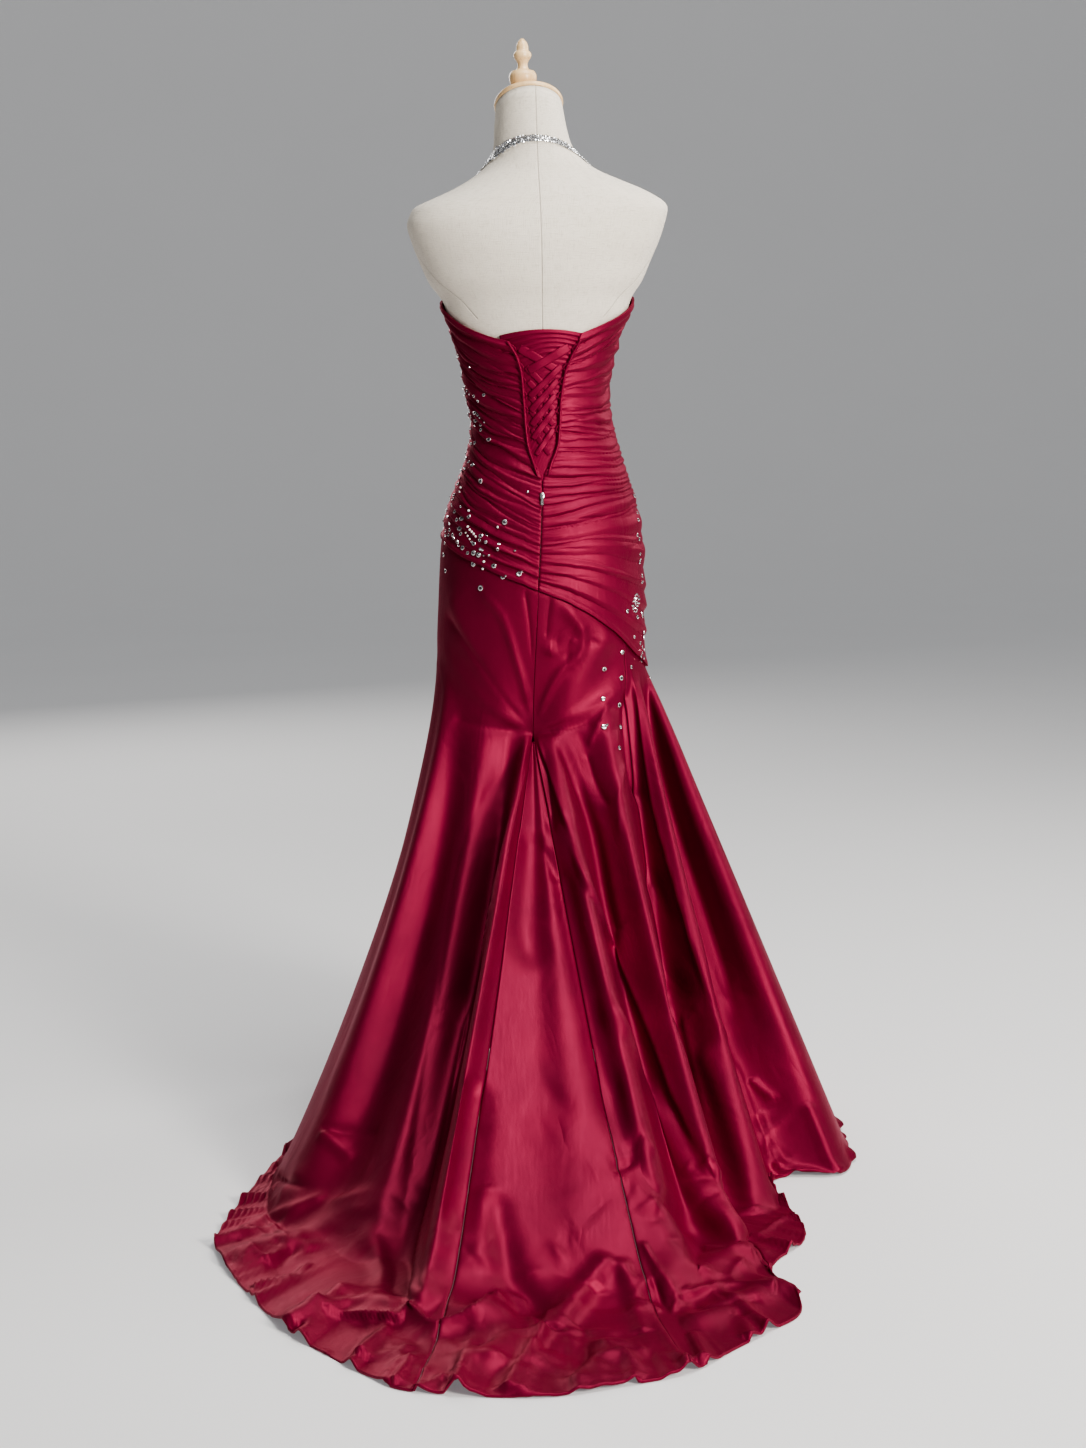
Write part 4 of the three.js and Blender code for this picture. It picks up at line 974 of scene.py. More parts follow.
# where the cloth is crushed: place in the camera's frame, radius, number of creases, and their length,
# half width and height
crushedPlaces = [
    ((575, 650), 42, 16, 44, 5, 2.2),
    ((600, 735), 30, 8, 40, 5, 1.8),
    ((625, 993), 20, 5, 34, 6, 1.4),
    ((686, 1013), 26, 9, 40, 6, 2.2),
    ((720, 1180), 46, 18, 60, 7, 3.4),
    ((655, 1165), 50, 14, 70, 7, 3.2),
    ((668, 1210), 44, 14, 70, 8, 3.2),
    ((676, 1300), 60, 20, 70, 8, 5.0),
    ((745, 1278), 60, 16, 90, 9, 5.0),
    ((590, 1350), 70, 16, 90, 9, 5.0),
    ((505, 1350), 60, 20, 80, 9, 5.5),
    ((420, 1350), 60, 16, 80, 9, 5.0),
    ((350, 1300), 60, 14, 90, 9, 5.0),
    ((280, 1250), 70, 16, 90, 9, 5.0),
    ((300, 1180), 60, 8, 80, 10, 3.0),
    ((440, 1290), 40, 10, 50, 7, 3.0),
    ((610, 1200), 50, 8, 70, 10, 2.0),
    ((520, 1120), 60, 6, 90, 12, 2.0),
    ((740, 1000), 30, 5, 60, 7, 1.4),
    ((495, 840), 60, 5, 90, 10, 1.6),
    ((380, 1200), 90, 12, 100, 9, 2.8),
    ((765, 1140), 34, 8, 60, 7, 2.6),
    ((480, 1380), 60, 14, 60, 6, 3.0),
    ((640, 1360), 60, 14, 60, 6, 3.0),
    ((380, 1360), 60, 14, 60, 6, 3.0),
    ((480, 1230), 60, 8, 80, 9, 2.4),
    ((560, 1260), 60, 8, 80, 9, 2.4),
]
crushSeed = 11
foldLook = {
    "reach": 3.2, "smoothing": 8, "pointsPerPlace": 6, "fadeIn": 0.12, "fadeOut": 0.2, "fadeAtHem": 0.02,
}
hemStart = {"away": 500, "below": 30}  # a fold that ends past these runs out at the hem


def layOnCloth(tree, samples, places):
    # places in the camera's frame as points of the cloth; a line of sight that misses it moves in
    # towards the middle
    start = eye / metre
    sight = unit(samples - start)
    points = []
    for x, y in places:
        inwards = math.copysign(1, picture["width"] / 2 - x)
        for step in range(10):
            hit = tree.ray_cast(Vector(start), Vector(sightLine(x + step * inwards, y)))[0]
            if hit:
                break
        points.append(np.array(hit) if hit else samples[np.argmax(sight @ sightLine(x, y))])
    return np.array(points)


def foldShape(kind, away, sideways, width):
    if kind == "ridge":
        return hump(away, width)
    if kind == "crease":
        return np.exp(-np.power(away / width, 1.25))
    edge = np.maximum(width * 0.28, 3.5)
    return np.where(sideways > 0, np.exp(-away / width), hump(away, edge))


def foldLift(points, normals, fold):
    # height of one fold over a cloud of points; fold holds its line, kind, widths, heights and fades
    line = fold["line"]
    reach = foldLook["reach"] * max(fold["width"])
    inside = np.all((points > line.min(0) - reach) & (points < line.max(0) + reach), axis=-1)
    lift = np.zeros(points.shape[:-1])
    if not inside.any():
        return lift
    step = np.diff(line, axis=0)
    length = np.maximum(np.linalg.norm(step, axis=1), 1e-6)
    start = np.concatenate([[0], np.cumsum(length)])
    p = points[inside]
    best = np.full(len(p), np.inf)
    share = np.zeros(len(p))
    gap = np.zeros_like(p)
    heading = np.zeros_like(p)
    for k in range(len(step)):
        t = np.clip(((p - line[k]) @ step[k]) / length[k] ** 2, 0, 1)
        off = p - line[k] - t[:, None] * step[k]
        size = np.einsum("ij,ij->i", off, off)
        closer = size < best
        best[closer] = size[closer]
        share[closer] = (start[k] + t[closer] * length[k]) / start[-1]
        gap[closer] = off[closer]
        heading[closer] = step[k] / length[k]
    away = np.sqrt(best)
    sideways = np.einsum("ij,ij->i", np.cross(normals[inside], heading), gap)
    width = mix(*fold["width"], share)
    height = mix(*fold["height"], share)
    fadeIn, fadeOut = fold["fade"]
    ends = smoothStep(share, -0.001, fadeIn) * smoothStep(1 - share, -0.001, fadeOut)
    lift[inside] = height * ends * foldShape(fold["kind"], away, sideways, width)
    return lift


def pictureFolds(tree, samples):
    folds = []
    for kind, width0, height0, width1, height1, places in skirtFolds:
        places = curveThrough(places, foldLook["pointsPerPlace"] * len(places))
        line = layOnCloth(tree, samples, places)
        for _ in range(foldLook["smoothing"]):
            line[1:-1] = (line[:-2] + 2 * line[1:-1] + line[2:]) / 4
        x, y, z = line[-1]
        atHem = np.hypot(x, y) > hemStart["away"] and z < hemStart["below"]
        folds.append({
            "kind": kind, "line": line, "width": (width0, width1), "height": (height0, height1),
            "fade": (foldLook["fadeIn"], foldLook["fadeAtHem" if atHem else "fadeOut"]),
        })
    return folds


def crushFolds(tree, samples, normals):
    draw = np.random.default_rng(crushSeed)
    folds = []
    for place, radius, count, length, width, height in crushedPlaces:
        centre = layOnCloth(tree, samples, [place])[0]
        near = np.flatnonzero(np.linalg.norm(samples - centre, axis=1) < radius)
        if not len(near):
            continue
        for _ in range(count):
            pick = near[draw.integers(len(near))]
            normal = normals[pick]
            side = unit(np.cross(normal, up) + 1e-6)
            turn = draw.uniform(0, math.pi)
            heading = side * math.cos(turn) + np.cross(normal, side) * math.sin(turn)
            bend = np.cross(normal, heading) * draw.normal(0, 0.12)
            size = length * draw.uniform(0.5, 1.3)
            t = np.linspace(-0.5, 0.5, 6)[:, None]
            line = samples[pick] + size * (t * heading + (0.25 - t * t) * 2 * bend)
            folds.append({
                "kind": "crease" if draw.random() < 0.7 else "ridge", "line": line,
                "width": (width * draw.uniform(0.6, 1.2), width * draw.uniform(0.8, 1.6)),
                "height": (height * draw.uniform(-1.0, 1.2),) * 2, "fade": (0.5, 0.5),
            })
    return folds


frontFlutes = {"height": 13, "waves": ((9, 0.3, 1.0), (14, 1.9, 0.55), (23, 0.8, 0.3)), "from": 640, "to": 60}


def fluteLift(points):
    # hanging flutes of the front, away from the train
    turn = np.arctan2(points[..., 0], -points[..., 1])
    wave = sum(size * np.sin(count * turn + phase) for count, phase, size in frontFlutes["waves"])
    low = smoothStep(-points[..., 2], -frontFlutes["from"], -frontFlutes["to"])
    return frontFlutes["height"] * wave * low * smoothStep(-points[..., 1], -160, 40)


hem = {
    "width": 9, "thick": 1.3, "groove": 0.5, "ripple": 4.8, "inwards": 110, "floor": 30,
    "middle": (50, 300), "radius": 640,
    "waves": ((0.061, 0.3, 1.0), (0.097, 2.2, 0.8), (0.171, 4.0, 0.5), (0.29, 1.0, 0.25)),
}


def toHem(points):
    # length of cloth left below each point of a column
    step = np.linalg.norm(np.diff(points, axis=1), axis=2)
    return np.concatenate([np.cumsum(step[:, ::-1], 1)[:, ::-1], np.zeros((len(points), 1))], 1)


def hemRipple(points):
    # short radial waves of the edge where it lies on the floor
    x, y = hem["middle"]
    around = np.arctan2(points[..., 0] - x, points[..., 1] - y) * hem["radius"]
    wave = sum(size * np.sin(around * rate + phase) for rate, phase, size in hem["waves"])
    wave = np.maximum(wave, 0) ** 1.4 * hem["ripple"]
    edge = np.exp(-((toHem(points) / hem["inwards"]) ** 1.3))
    return wave * edge * smoothStep(-points[..., 2], -hem["floor"], -6)


def hemProfile(points):
    # the narrow rolled hem: extra thickness near the lower edge of each column
    left = toHem(points)
    roll = 1 - smoothStep(left, hem["width"] - 3, hem["width"])
    stitch = hump(left - hem["width"] - 1, 2.5)
    return hem["thick"] * roll - hem["groove"] * stitch


clothFloor = {"outer": 1.4, "inner": 0.2}  # how near the two faces of the cloth come to the floor
seamGap = 0.25
coarseStep = 3


def makeSkirt():
    points = {name: layPanel(panel, name == "skirt_godet") for name, panel in skirtPanels.items()}
    normals = {name: gridNormals(grid) for name, grid in points.items()}
    meetAtSeams(normals, points)
    few = (slice(None, None, coarseStep),) * 2
    tree, corners = searchTree([grid[few] for grid in points.values()])
    samples = np.concatenate(corners)
    facing = np.concatenate([grid[few].reshape(-1, 3) for grid in normals.values()])
    seen = np.einsum("ij,ij->i", facing, unit(eye / metre - samples)) > 0.1
    folds = pictureFolds(tree, samples[seen]) + crushFolds(tree, samples[seen], facing[seen])
    print("skirt laid,", len(folds), "folds")
    for name, grid in points.items():
        lift = fluteLift(grid) + hemRipple(grid)
        for fold in folds:
            lift = lift + foldLift(grid, normals[name], fold)
        grid += normals[name] * lift[..., None]
    for name, grid in points.items():
        for column, seam in ((0, 1.0), (1, 0.25), (-1, 1.0), (-2, 0.25)):
            depth = seam * smoothStep(np.arange(grid.shape[1]), 4, 12)
            grid[column] -= normals[name][column] * depth[:, None]
        normal = gridNormals(grid)
        roll = hemProfile(grid)[..., None]
        outer = grid + normal * np.maximum(roll, 0) * 0.5
        inner = grid - normal * (clothThick + roll * 0.5)
        outer[..., 2] = np.maximum(outer[..., 2], clothFloor["outer"])
        inner[..., 2] = np.maximum(inner[..., 2], clothFloor["inner"])
        for sheet in (outer, inner):
            for edge, neighbour in ((0, 1), (-1, -2)):
                inwards = sheet[neighbour] - sheet[edge]
                size = np.maximum(np.linalg.norm(inwards, axis=1, keepdims=True), 1e-6)
                sheet[edge] += inwards / size * np.minimum(seamGap, size * 0.3)
        piece = addPiece(name, shellMesh(name, outer, inner, gridUv(outer)), satin, [name])
        points[name] = outer
    return points


skirt = makeSkirt()
print("skirt made")


# bodice

# ruching of each back: number of pleats, seed, short creases, and where a pleat that leaves the centre
# at a share of the height ends at the side
ruching = {
    "left": {
        "pleats": 26, "seed": 5, "short": 110,
        "ends": [(0, 0), (0.2, 0.21), (0.5, 0.49), (0.75, 0.71), (0.9, 0.875), (1, 1)],
    },
    "right": {
        "pleats": 33, "seed": 23, "short": 120,
        "ends": [
            (0, 0), (0.2, 0.2), (0.4, 0.38), (0.55, 0.465), (0.71, 0.52), (0.78, 0.59), (0.83, 0.665),
            (0.86, 0.735), (0.9, 0.8), (0.95, 0.895), (1, 1),
        ],
    },
}
pleatLook = {
    "width": (0.35, 1.75), "depth": (2.6, 5.6), "wander": 0.75, "lean": (0.75, 2.3), "knife": (0.1, 0.9),
    "shortDepth": 2.3, "shortWidth": 2.0, "edgeLift": 2.6, "overlap": 5, "lining": 2.8, "seamDip": 1.3,
    "high": 380, "waves": ((1.6, 0.55), (3.7, 0.3), (7.1, 0.15)), "waveRate": 2.2, "gathers": 0.45,
}
# the even pleats just above the drop waist, and the bound top edge
bandLook = {"pleats": 4, "depth": 5.2, "width": 1.3, "lean": 2.3, "knife": 0.85}
bindingLook = {"height": 1.5, "at": 0.016, "width": 0.013}
bodiceGrids = {"back": (115, 331), "front": (127, 241)}
liningStep = (2, 3)


def pleatPlace(side, out, v):
    # the pleat coordinate: the height at the centre of the pleat that passes each point
    starts, ends = np.array(ruching[side]["ends"]).T
    fine = np.linspace(0, 1, 101)
    atSide = lookUp(starts, ends, fine)
    place = np.empty_like(v)
    for n in range(len(v)):
        reach = math.sin(min(out[n, 0], 1) * math.pi / 2)
        place[n] = np.interp(v[n], mix(fine, atSide, reach), fine)
    return place


def ruchedLift(side, out, v):
    # height of the pleats over a grid; out is the same down a column
    given = ruching[side]
    draw = np.random.default_rng(given["seed"])
    count = given["pleats"]
    band = slice(-bandLook["pleats"], None)
    width = draw.uniform(*pleatLook["width"], count)
    width[band] = bandLook["width"]
    edges = np.concatenate([[0], np.cumsum(width)]) / width.sum()
    turns = draw.uniform(0, 2 * math.pi, (4, count + 1))
    shares = draw.uniform(0.3, 1.0, (3, count + 1))
    depth = draw.uniform(*pleatLook["depth"], count) * np.clip(0.45 + 0.55 * width, 0.6, 1.3)
    lean = draw.uniform(*pleatLook["lean"], count)
    knife = draw.uniform(*pleatLook["knife"], count)
    depth[band] = bandLook["depth"]
    lean[band] = bandLook["lean"]
    knife[band] = bandLook["knife"]
    place = pleatPlace(side, out, v)
    lift = np.zeros_like(place)
    loose = np.minimum(1, 4 * (1 - edges)) * np.minimum(1, 8 * edges)
    for n in range(len(place)):
        at = out[n, 0]
        wave = sum(
            share * np.sin(rate * at * pleatLook["waveRate"] + turn) * size
            for share, turn, (rate, size) in zip(shares, turns, pleatLook["waves"])
        )
        line = edges + wave * loose * pleatLook["wander"] / count
        line = np.maximum.accumulate(line + np.arange(count + 1) * 1e-6)
        i = np.clip(np.searchsorted(line, place[n], side="right") - 1, 0, count - 1)
        t = np.clip((place[n] - line[i]) / (line[i + 1] - line[i]), 0, 1)
        swell = 0.72 + 0.28 * np.sin(3.1 * at * (1 + shares[0][:-1]) + turns[3][:-1])
        rounded = np.sin(math.pi * t ** lean[i])
        peak = 0.5 ** (1 / lean[i])
        sharp = np.minimum(t / peak, (1 - t) / (1 - peak)) ** 0.85
        lift[n] = depth[i] * swell[i] * (mix(rounded, sharp, knife[i]) - 0.5)
    for _ in range(given["short"]):
        middle, line = draw.uniform(0, 2), draw.uniform(0.04, 0.95)
        reach, slope, strength = draw.uniform(0.08, 0.34), draw.normal(0, 0.045), draw.uniform(0.4, 1.0)
        away = np.abs(place - line - slope * (out - middle)) * pleatLook["high"] / pleatLook["shortWidth"]
        lift = lift - strength * pleatLook["shortDepth"] * np.exp(-away) * hump(out - middle, reach)
    gathers = np.sin(place * 2 * math.pi * count * 1.9 + 3 * np.sin(9 * place)) * hump(out, 0.09)
    lift = lift * (0.6 + 0.4 * smoothStep(out, 0.0, 0.12)) + pleatLook["gathers"] * gathers
    smooth = smoothStep(v, 0.0, 0.03)
    binding = bindingLook["height"] * hump(v - bindingLook["at"], bindingLook["width"])
    last = smoothStep(v, 0.975, 0.992)
    return (lift * smooth + binding) * (1 - last) + pleatLook["edgeLift"] * last


def backPlaces(side, out, v):
    sideDeg = 90 if side == "left" else -90
    deg = sideDeg * out
    for _ in range(8):
        z = mix(lookRound(neckline, deg), lookRound(dropWaist, deg) - pleatLook["overlap"], v)
        deg = mix(backEdge(side, z), sideDeg, out)
    return deg, z


def coarseShell(name, outer, inner, step, uv):
    # a closed shell whose inner face is coarser than its outer one
    columns, rows = outer.shape[:2]
    count = columns * rows
    face = gridQuads(columns, rows)[:, ::-1]
    back = gridQuads(*inner.shape[:2], count)
    index = np.arange(count).reshape(columns, rows)
    under = np.arange(inner[..., 0].size).reshape(inner.shape[:2]) + count
    loops, sizes = [face.ravel(), back.ravel()], [np.full(len(face) + len(back), 4)]
    sides = (
        (index[0, :], under[0, :], step[1]), (index[:, -1], under[:, -1], step[0]),
        (index[-1, ::-1], under[-1, ::-1], step[1]), (index[::-1, 0], under[::-1, 0], step[0]),
    )
    for fine, coarse, stride in sides:
        for k in range(len(coarse) - 1):
            ring = np.concatenate([fine[k * stride:(k + 1) * stride + 1], coarse[[k + 1, k]]])
            loops.append(ring)
            sizes.append([len(ring)])
    points = np.concatenate([outer.reshape(-1, 3), inner.reshape(-1, 3)])
    few = uv[::step[0], ::step[1]]
    both = np.concatenate([uv.reshape(-1, 2), few.reshape(-1, 2)])
    flat = np.arange(len(face) + len(back), sum(len(s) for s in sizes))
    return meshFrom(name, points, np.concatenate(loops), np.concatenate(sizes), both, flat)


def seamDip(columns, rows, edges):
    # the cloth turns in at its seams
    dip = np.zeros((columns, rows))
    for edge in edges:
        for n, share in ((0, 1.0), (1, 0.35), (2, 0.08)):
            dip[edge * n if edge > 0 else -1 - n] = share
    return dip * pleatLook["seamDip"]


def makeBodice():
    made = {}
    for side in ("left", "right"):
        columns, rows = bodiceGrids["back"]
        share = np.linspace(0, 1, columns) ** 1.15
        out, v = np.meshgrid(share, np.linspace(0, 1, rows), indexing="ij")
        deg, z = backPlaces(side, out, v)
        lift = ruchedLift(side, out, v) - seamDip(columns, rows, (1, -1))
        made["bodice_back_" + side] = (deg, z, lift)
    columns, rows = bodiceGrids["front"]
    u, v = np.meshgrid(np.linspace(0, 1, columns), np.linspace(0, 1, rows), indexing="ij")
    deg = mix(90, 270, u)
    z = mix(lookRound(neckline, deg), lookRound(dropWaist, deg) - pleatLook["overlap"], v)
    blend = smoothStep(u, 0.35, 0.65)
    lift = mix(ruchedLift("left", 1 + u, v), ruchedLift("right", 2 - u, v), blend)
    made["bodice_front"] = (deg, z, lift - seamDip(columns, rows, (1, -1)))
    surfaces = {}
    for name, (deg, z, lift) in made.items():
        outer = bodyPoint(deg, z, lift)
        few = tuple(slice(None, None, step) for step in liningStep)
        inner = bodyPoint(deg[few], z[few], -pleatLook["lining"])
        for sheet in (outer, inner):
            for edge, neighbour in ((0, 1), (-1, -2)):
                sheet[edge] += unit(sheet[neighbour] - sheet[edge]) * seamGap
        if name == "bodice_back_right":
            outer, inner = outer[::-1], inner[::-1]
        mesh = coarseShell(name, outer, inner, liningStep, gridUv(outer))
        piece = addPiece(name, mesh, satin, [name])
        surfaces[name] = outer
    return surfaces


bodice = makeBodice()
print("bodice made")


# modesty panel, lacing and piping of the V

panelLook = {
    "x": 2, "top": 1203, "topDip": 8, "bottom": 964, "wideTop": 66, "wideBottom": 26, "inset": 3.2,
    "wall": 1.0, "tucks": 4, "tuckDepth": 2.4, "tuckReach": 34, "grid": (56, 110),
}
# lacing ribbons: height where each starts, how far it drops and its width; one of each layer
laces = [(1176, 34, 13), (1148, 44, 9.5), (1127, 44, 9.5), (1106, 44, 9.5), (1084, 42, 9), (1056, 38, 8)]
laceLook = {
    "low": -0.9, "high": 0.7, "thick": 1.1, "weave": 0.3, "boxy": 0.42, "clear": 1.5, "steps": 44,
    "sides": 12, "turned": 2.2,
}
pipingLook = {
    "radius": 2.0, "seat": 0.6, "top": 1186, "foot": 987, "steps": 160, "sides": 14,
    "loop": 3.2, "loopThick": 0.9, "loopHigh": 1.6,
}


def bodyNormal(deg, z):
    return bodyPoint(deg, z, 1.0) - bodyPoint(deg, z, 0.0)


def makeModestyPanel():
    look = panelLook
    columns, rows = look["grid"]
    u, v = np.meshgrid(np.linspace(0, 1, columns), np.linspace(0, 1, rows) ** 1.25, indexing="ij")
    drop = look["top"] - look["topDip"] * (2 * u - 1) ** 2
    z = mix(drop, look["bottom"], v)
    reach = mix(look["wideTop"], look["wideBottom"], v)
    deg = backAngle(look["x"] + mix(-reach, reach, u), z)
    below = drop - z + 3.0 * np.sin(3 * u + 0.6) * smoothStep(v, 0, 0.1)
    t = np.mod(below / look["tuckReach"] * look["tucks"] * (1 + 0.12 * np.sin(5 * u)), 1)
    fade = 1 - smoothStep(below, look["tuckReach"] * 0.9, look["tuckReach"] * 1.5)
    tucks = look["tuckDepth"] * np.sin(math.pi * t ** 1.6) * (0.35 + 0.65 * fade)
    tucks = tucks * smoothStep(below, -0.5, 2.5) + 0.8 * (1 - smoothStep(below, 0, 5))
    lift = -look["inset"] + np.minimum(tucks, mix(0.9, 3.0, fade))
    outer = bodyPoint(deg, z, lift)
    inner = bodyPoint(deg, z, np.minimum(lift - look["wall"], -look["inset"] - look["wall"]))
    mesh = shellMesh("modesty_panel", outer, inner, gridUv(outer))
    piece = addPiece("modesty_panel", mesh, satin, ["modesty_panel"])


def makeLaces():
    look = laceLook
    t = np.linspace(0, 1, look["steps"])
    for number, (top, drop, width) in enumerate(laces, 1):
        for layer, side, other, turn in (("right", "left", "right", -1), ("left", "right", "left", 1)):
            clear = (width / 2 + look["clear"]) * turn
            x0 = vEdge(side, top) + clear
            x1 = vEdge(other, top - drop) - clear
            z = top - drop * t
            deg = backAngle(mix(x0, x1, t), z)
            base = look["low"] if layer == "right" else look["high"]
            over = look["weave"] * np.sin(math.pi * (4 * t + 0.5)) * (1 if layer == "right" else -1)
            path = bodyPoint(deg, z, base - look["thick"] / 2 + over)
            slack = 1 + 0.07 * np.sin(5 * t + number) - 0.16 * hump(t, 0.06) - 0.16 * hump(1 - t, 0.06)
            squeeze = look["thick"] / width
            tube = tubeMesh(path, width / 2 * slack, look["sides"], squeeze, bodyNormal(deg, z), look["boxy"])
            name = "lace_down_" + layer + "_" + str(number)
            size = np.linalg.norm(np.diff(path, axis=0), axis=1).sum()
            around = np.repeat(np.linspace(0, 2, look["sides"], endpoint=False) * width, look["steps"])
            along = np.tile(t * size, look["sides"])
            uv = np.stack([around, along], 1) * metre
            piece = addSolid(name, tube, satin, uv)


def makePiping():
    look = pipingLook
    for side, turn in (("left", 1), ("right", -1)):
        z = np.linspace(look["foot"], look["top"], look["steps"])
        deg = backAngle(vEdge(side, z) + turn * (look["radius"] + 0.6), z)
        path = bodyPoint(deg, z, look["radius"] + look["seat"])
        thick = look["radius"] * (1 + 0.05 * np.sin(z * 0.9) + 0.04 * np.sin(z * 0.37))
        thick = thick * (0.55 + 0.45 * smoothStep(z, look["foot"], look["foot"] + 8))
        parts = [tubeMesh(path, thick, look["sides"])]
        arc = np.linspace(0, math.pi, 12)
        for top, drop, _ in laces:
            place = top if side == "left" else top - drop * 0.02
            loopZ = place + look["loop"] * np.cos(arc) * look["loopHigh"]
            edge = vEdge(side, loopZ) + turn * (1.2 - look["loop"] * np.sin(arc))
            loop = bodyPoint(backAngle(edge, loopZ), loopZ, 1.6)
            parts.append(tubeMesh(loop, look["loopThick"], 8))
        solid = joinMeshes(parts)
        uv = np.stack([solid[0][:, 0] * 0.5, solid[0][:, 2]], 1) * metre
        addSolid("v_piping_" + side, solid, satin, uv)


makeModestyPanel()
makeLaces()
makePiping()
print("lacing made")


# zip

zipLook = {
    "top": 962, "bottom": 842, "wide": 5, "thick": 1.6, "inset": 2.5, "pitch": 1.5,
    "slider": 957, "width": 6, "height": 9, "depth": 3, "seat": 0.5, "plate": 1.1, "sharp": 38,
    "toothWide": 1.6, "toothShare": 0.62, "toothShift": 0.7,
}
tabLook = {"length": 15, "width": 4.4, "neck": 2.6, "wall": 1.0, "over": 0.4, "rise": 2.5, "gap": 0.4}


def boxPart(centre, axes, size):
    # a box as (points, loops, sizes)
    corners = np.array([[x, y, z] for x in (-1, 1) for y in (-1, 1) for z in (-1, 1)]) * np.asarray(size) / 2
    faces = [[0, 1, 3, 2], [4, 6, 7, 5], [0, 4, 5, 1], [2, 3, 7, 6], [0, 2, 6, 4], [1, 5, 7, 3]]
    return centre + corners @ np.asarray(axes), np.array(faces).ravel(), np.full(6, 4)


def roundedSlab(outline, heights, insets):
    # a slab with soft edges: outline rings shrunk by each inset at each height
    outline = np.asarray(outline, float)
    ahead = unit(np.roll(outline, -1, 0) - np.roll(outline, 1, 0))
    away = np.stack([ahead[:, 1], -ahead[:, 0]], 1)
    rings = []
    for height, inset in zip(heights, insets):
        rings.append(np.column_stack([outline - away * inset, np.full(len(outline), height)]))
    points = np.stack(rings, 1)
    return points.reshape(-1, 3), *cappedRings(*points.shape[:2])


def sliderFrame():
    z = zipLook["slider"]
    seat = bodyPoint(seamTurn(z), z, 0)
    side = unit(bodyPoint(seamTurn(z) + 1, z, 0) - seat)
    low = z - tabLook["length"]
    rise = unit(seat - bodyPoint(seamTurn(low), low, 0))
    out = -unit(np.cross(side, rise))
    return seat + out * (zipLook["depth"] / 2 + zipLook["seat"]), np.array([np.cross(out, rise), out, rise])


def placed(part, centre, axes):
    # a part drawn flat, x across, y up and z out, set in the slider's frame
    points = part[0]
    turned = points[:, [2]] * axes[1] + points[:, [1]] * axes[2] - points[:, [0]] * axes[0]
    return centre + turned, part[1].reshape(-1), part[2]


def makeChain():
    look = zipLook
    rows = np.arange(look["bottom"] + 1, look["top"] - 1, look["pitch"])
    tooth = (look["wide"] - look["toothWide"], look["thick"], look["pitch"] * look["toothShare"])
    parts = []
    for number, z in enumerate(rows):
        centre = bodyPoint(seamTurn(z), z, -look["inset"] - look["thick"] / 2)
        out = unit(bodyNormal(seamTurn(z), z))
        along = unit(bodyPoint(seamTurn(z + 1), z + 1) - bodyPoint(seamTurn(z), z))
        across = np.cross(out, along)
        shift = across * (look["toothShift"] if number % 2 else -look["toothShift"])
        parts.append(boxPart(centre + shift, [across, out, along], tooth))
    chain = addSolid("zip_chain", joinMeshes(parts), zipMetal)
    chain.data.shade_flat()


def makeSlider(centre, axes):
    # two plates on a core, with a crown over them that the tab hangs in
    look = zipLook
    turn = np.linspace(0, 2 * math.pi, 48, endpoint=False)
    wide = look["width"] / 2 * (1 + 0.12 * np.sin(turn))
    square = (np.abs(np.cos(turn)) ** 3 + np.abs(np.sin(turn)) ** 3) ** (-1 / 3)
    outline = np.stack([wide * square * np.cos(turn), look["height"] / 2 * square * np.sin(turn)], 1)
    half = look["depth"] / 2
    plates = []
    for low, high in ((-half, -half + look["plate"]), (half - look["plate"], half)):
        plates.append(roundedSlab(outline, (low, low + 0.25, high - 0.3, high), (0.35, 0, 0, 0.4)))
    plates.append(roundedSlab(outline * 0.45, (-half + 0.8, half - 0.8), (0, 0)))
    bend = np.linspace(0, math.pi, 14)
    rise = tabLook["rise"] + 0.2 - 3.2 * np.cos(bend) * 0.8
    crown = np.stack([0 * bend, rise, half - 0.3 + 1.7 * np.sin(bend)], 1)
    plates.append(tubeMesh(crown, 0.55, 10, normals=np.tile([1.0, 0.0, 0.0], (len(bend), 1))))
    parts = [placed(part, centre, axes) for part in plates]
    addSolid("zip_slider", joinMeshes(parts), zipMetal, sharp=look["sharp"])


def makeTab(centre, axes):
    look = tabLook
    arc = np.linspace(math.pi, 2 * math.pi, 24)
    half = look["width"] / 2
    foot = np.stack([half * np.cos(arc), -look["length"] + half * np.sin(arc)], 1)
    t = np.linspace(0.06, 1, 14)
    right = np.stack([mix(half, look["neck"] / 2, t), mix(-look["length"], look["over"], t)], 1)
    left = right[::-1] * [-1, 1]
    outline = np.concatenate([foot, right, left])
    pivot = centre + axes[2] * look["rise"] + axes[1] * (zipLook["depth"] / 2 + look["gap"])
    plate = roundedSlab(outline, (0, 0.15, look["wall"] - 0.3, look["wall"] - 0.1), (0.2, 0, 0, 0.22))
    rim = np.column_stack([outline * [0.62, 0.9] - [0, 1.0], np.full(len(outline), look["wall"] - 0.15)])
    rim = np.concatenate([rim, rim[:2]])
    border = tubeMesh(rim, 0.24, 6, normals=np.tile([0.01, 0.0, 1.0], (len(rim), 1)))
    parts = [placed(part, pivot, axes) for part in (plate, border)]
    sharp = zipLook["sharp"]
    addSolid("zip_pull_tab", joinMeshes(parts), zipMetal, sharp=sharp, body=tabBody)


makeChain()
makeSlider(*sliderFrame())
makeTab(*sliderFrame())
print("zip made")


# dress form and stand

formInset = 5.6
lowHeights = [790, 820, 850, 886, 932, 978, 1023, 1065, 1110, 1160, 1200, 1227, 1250]
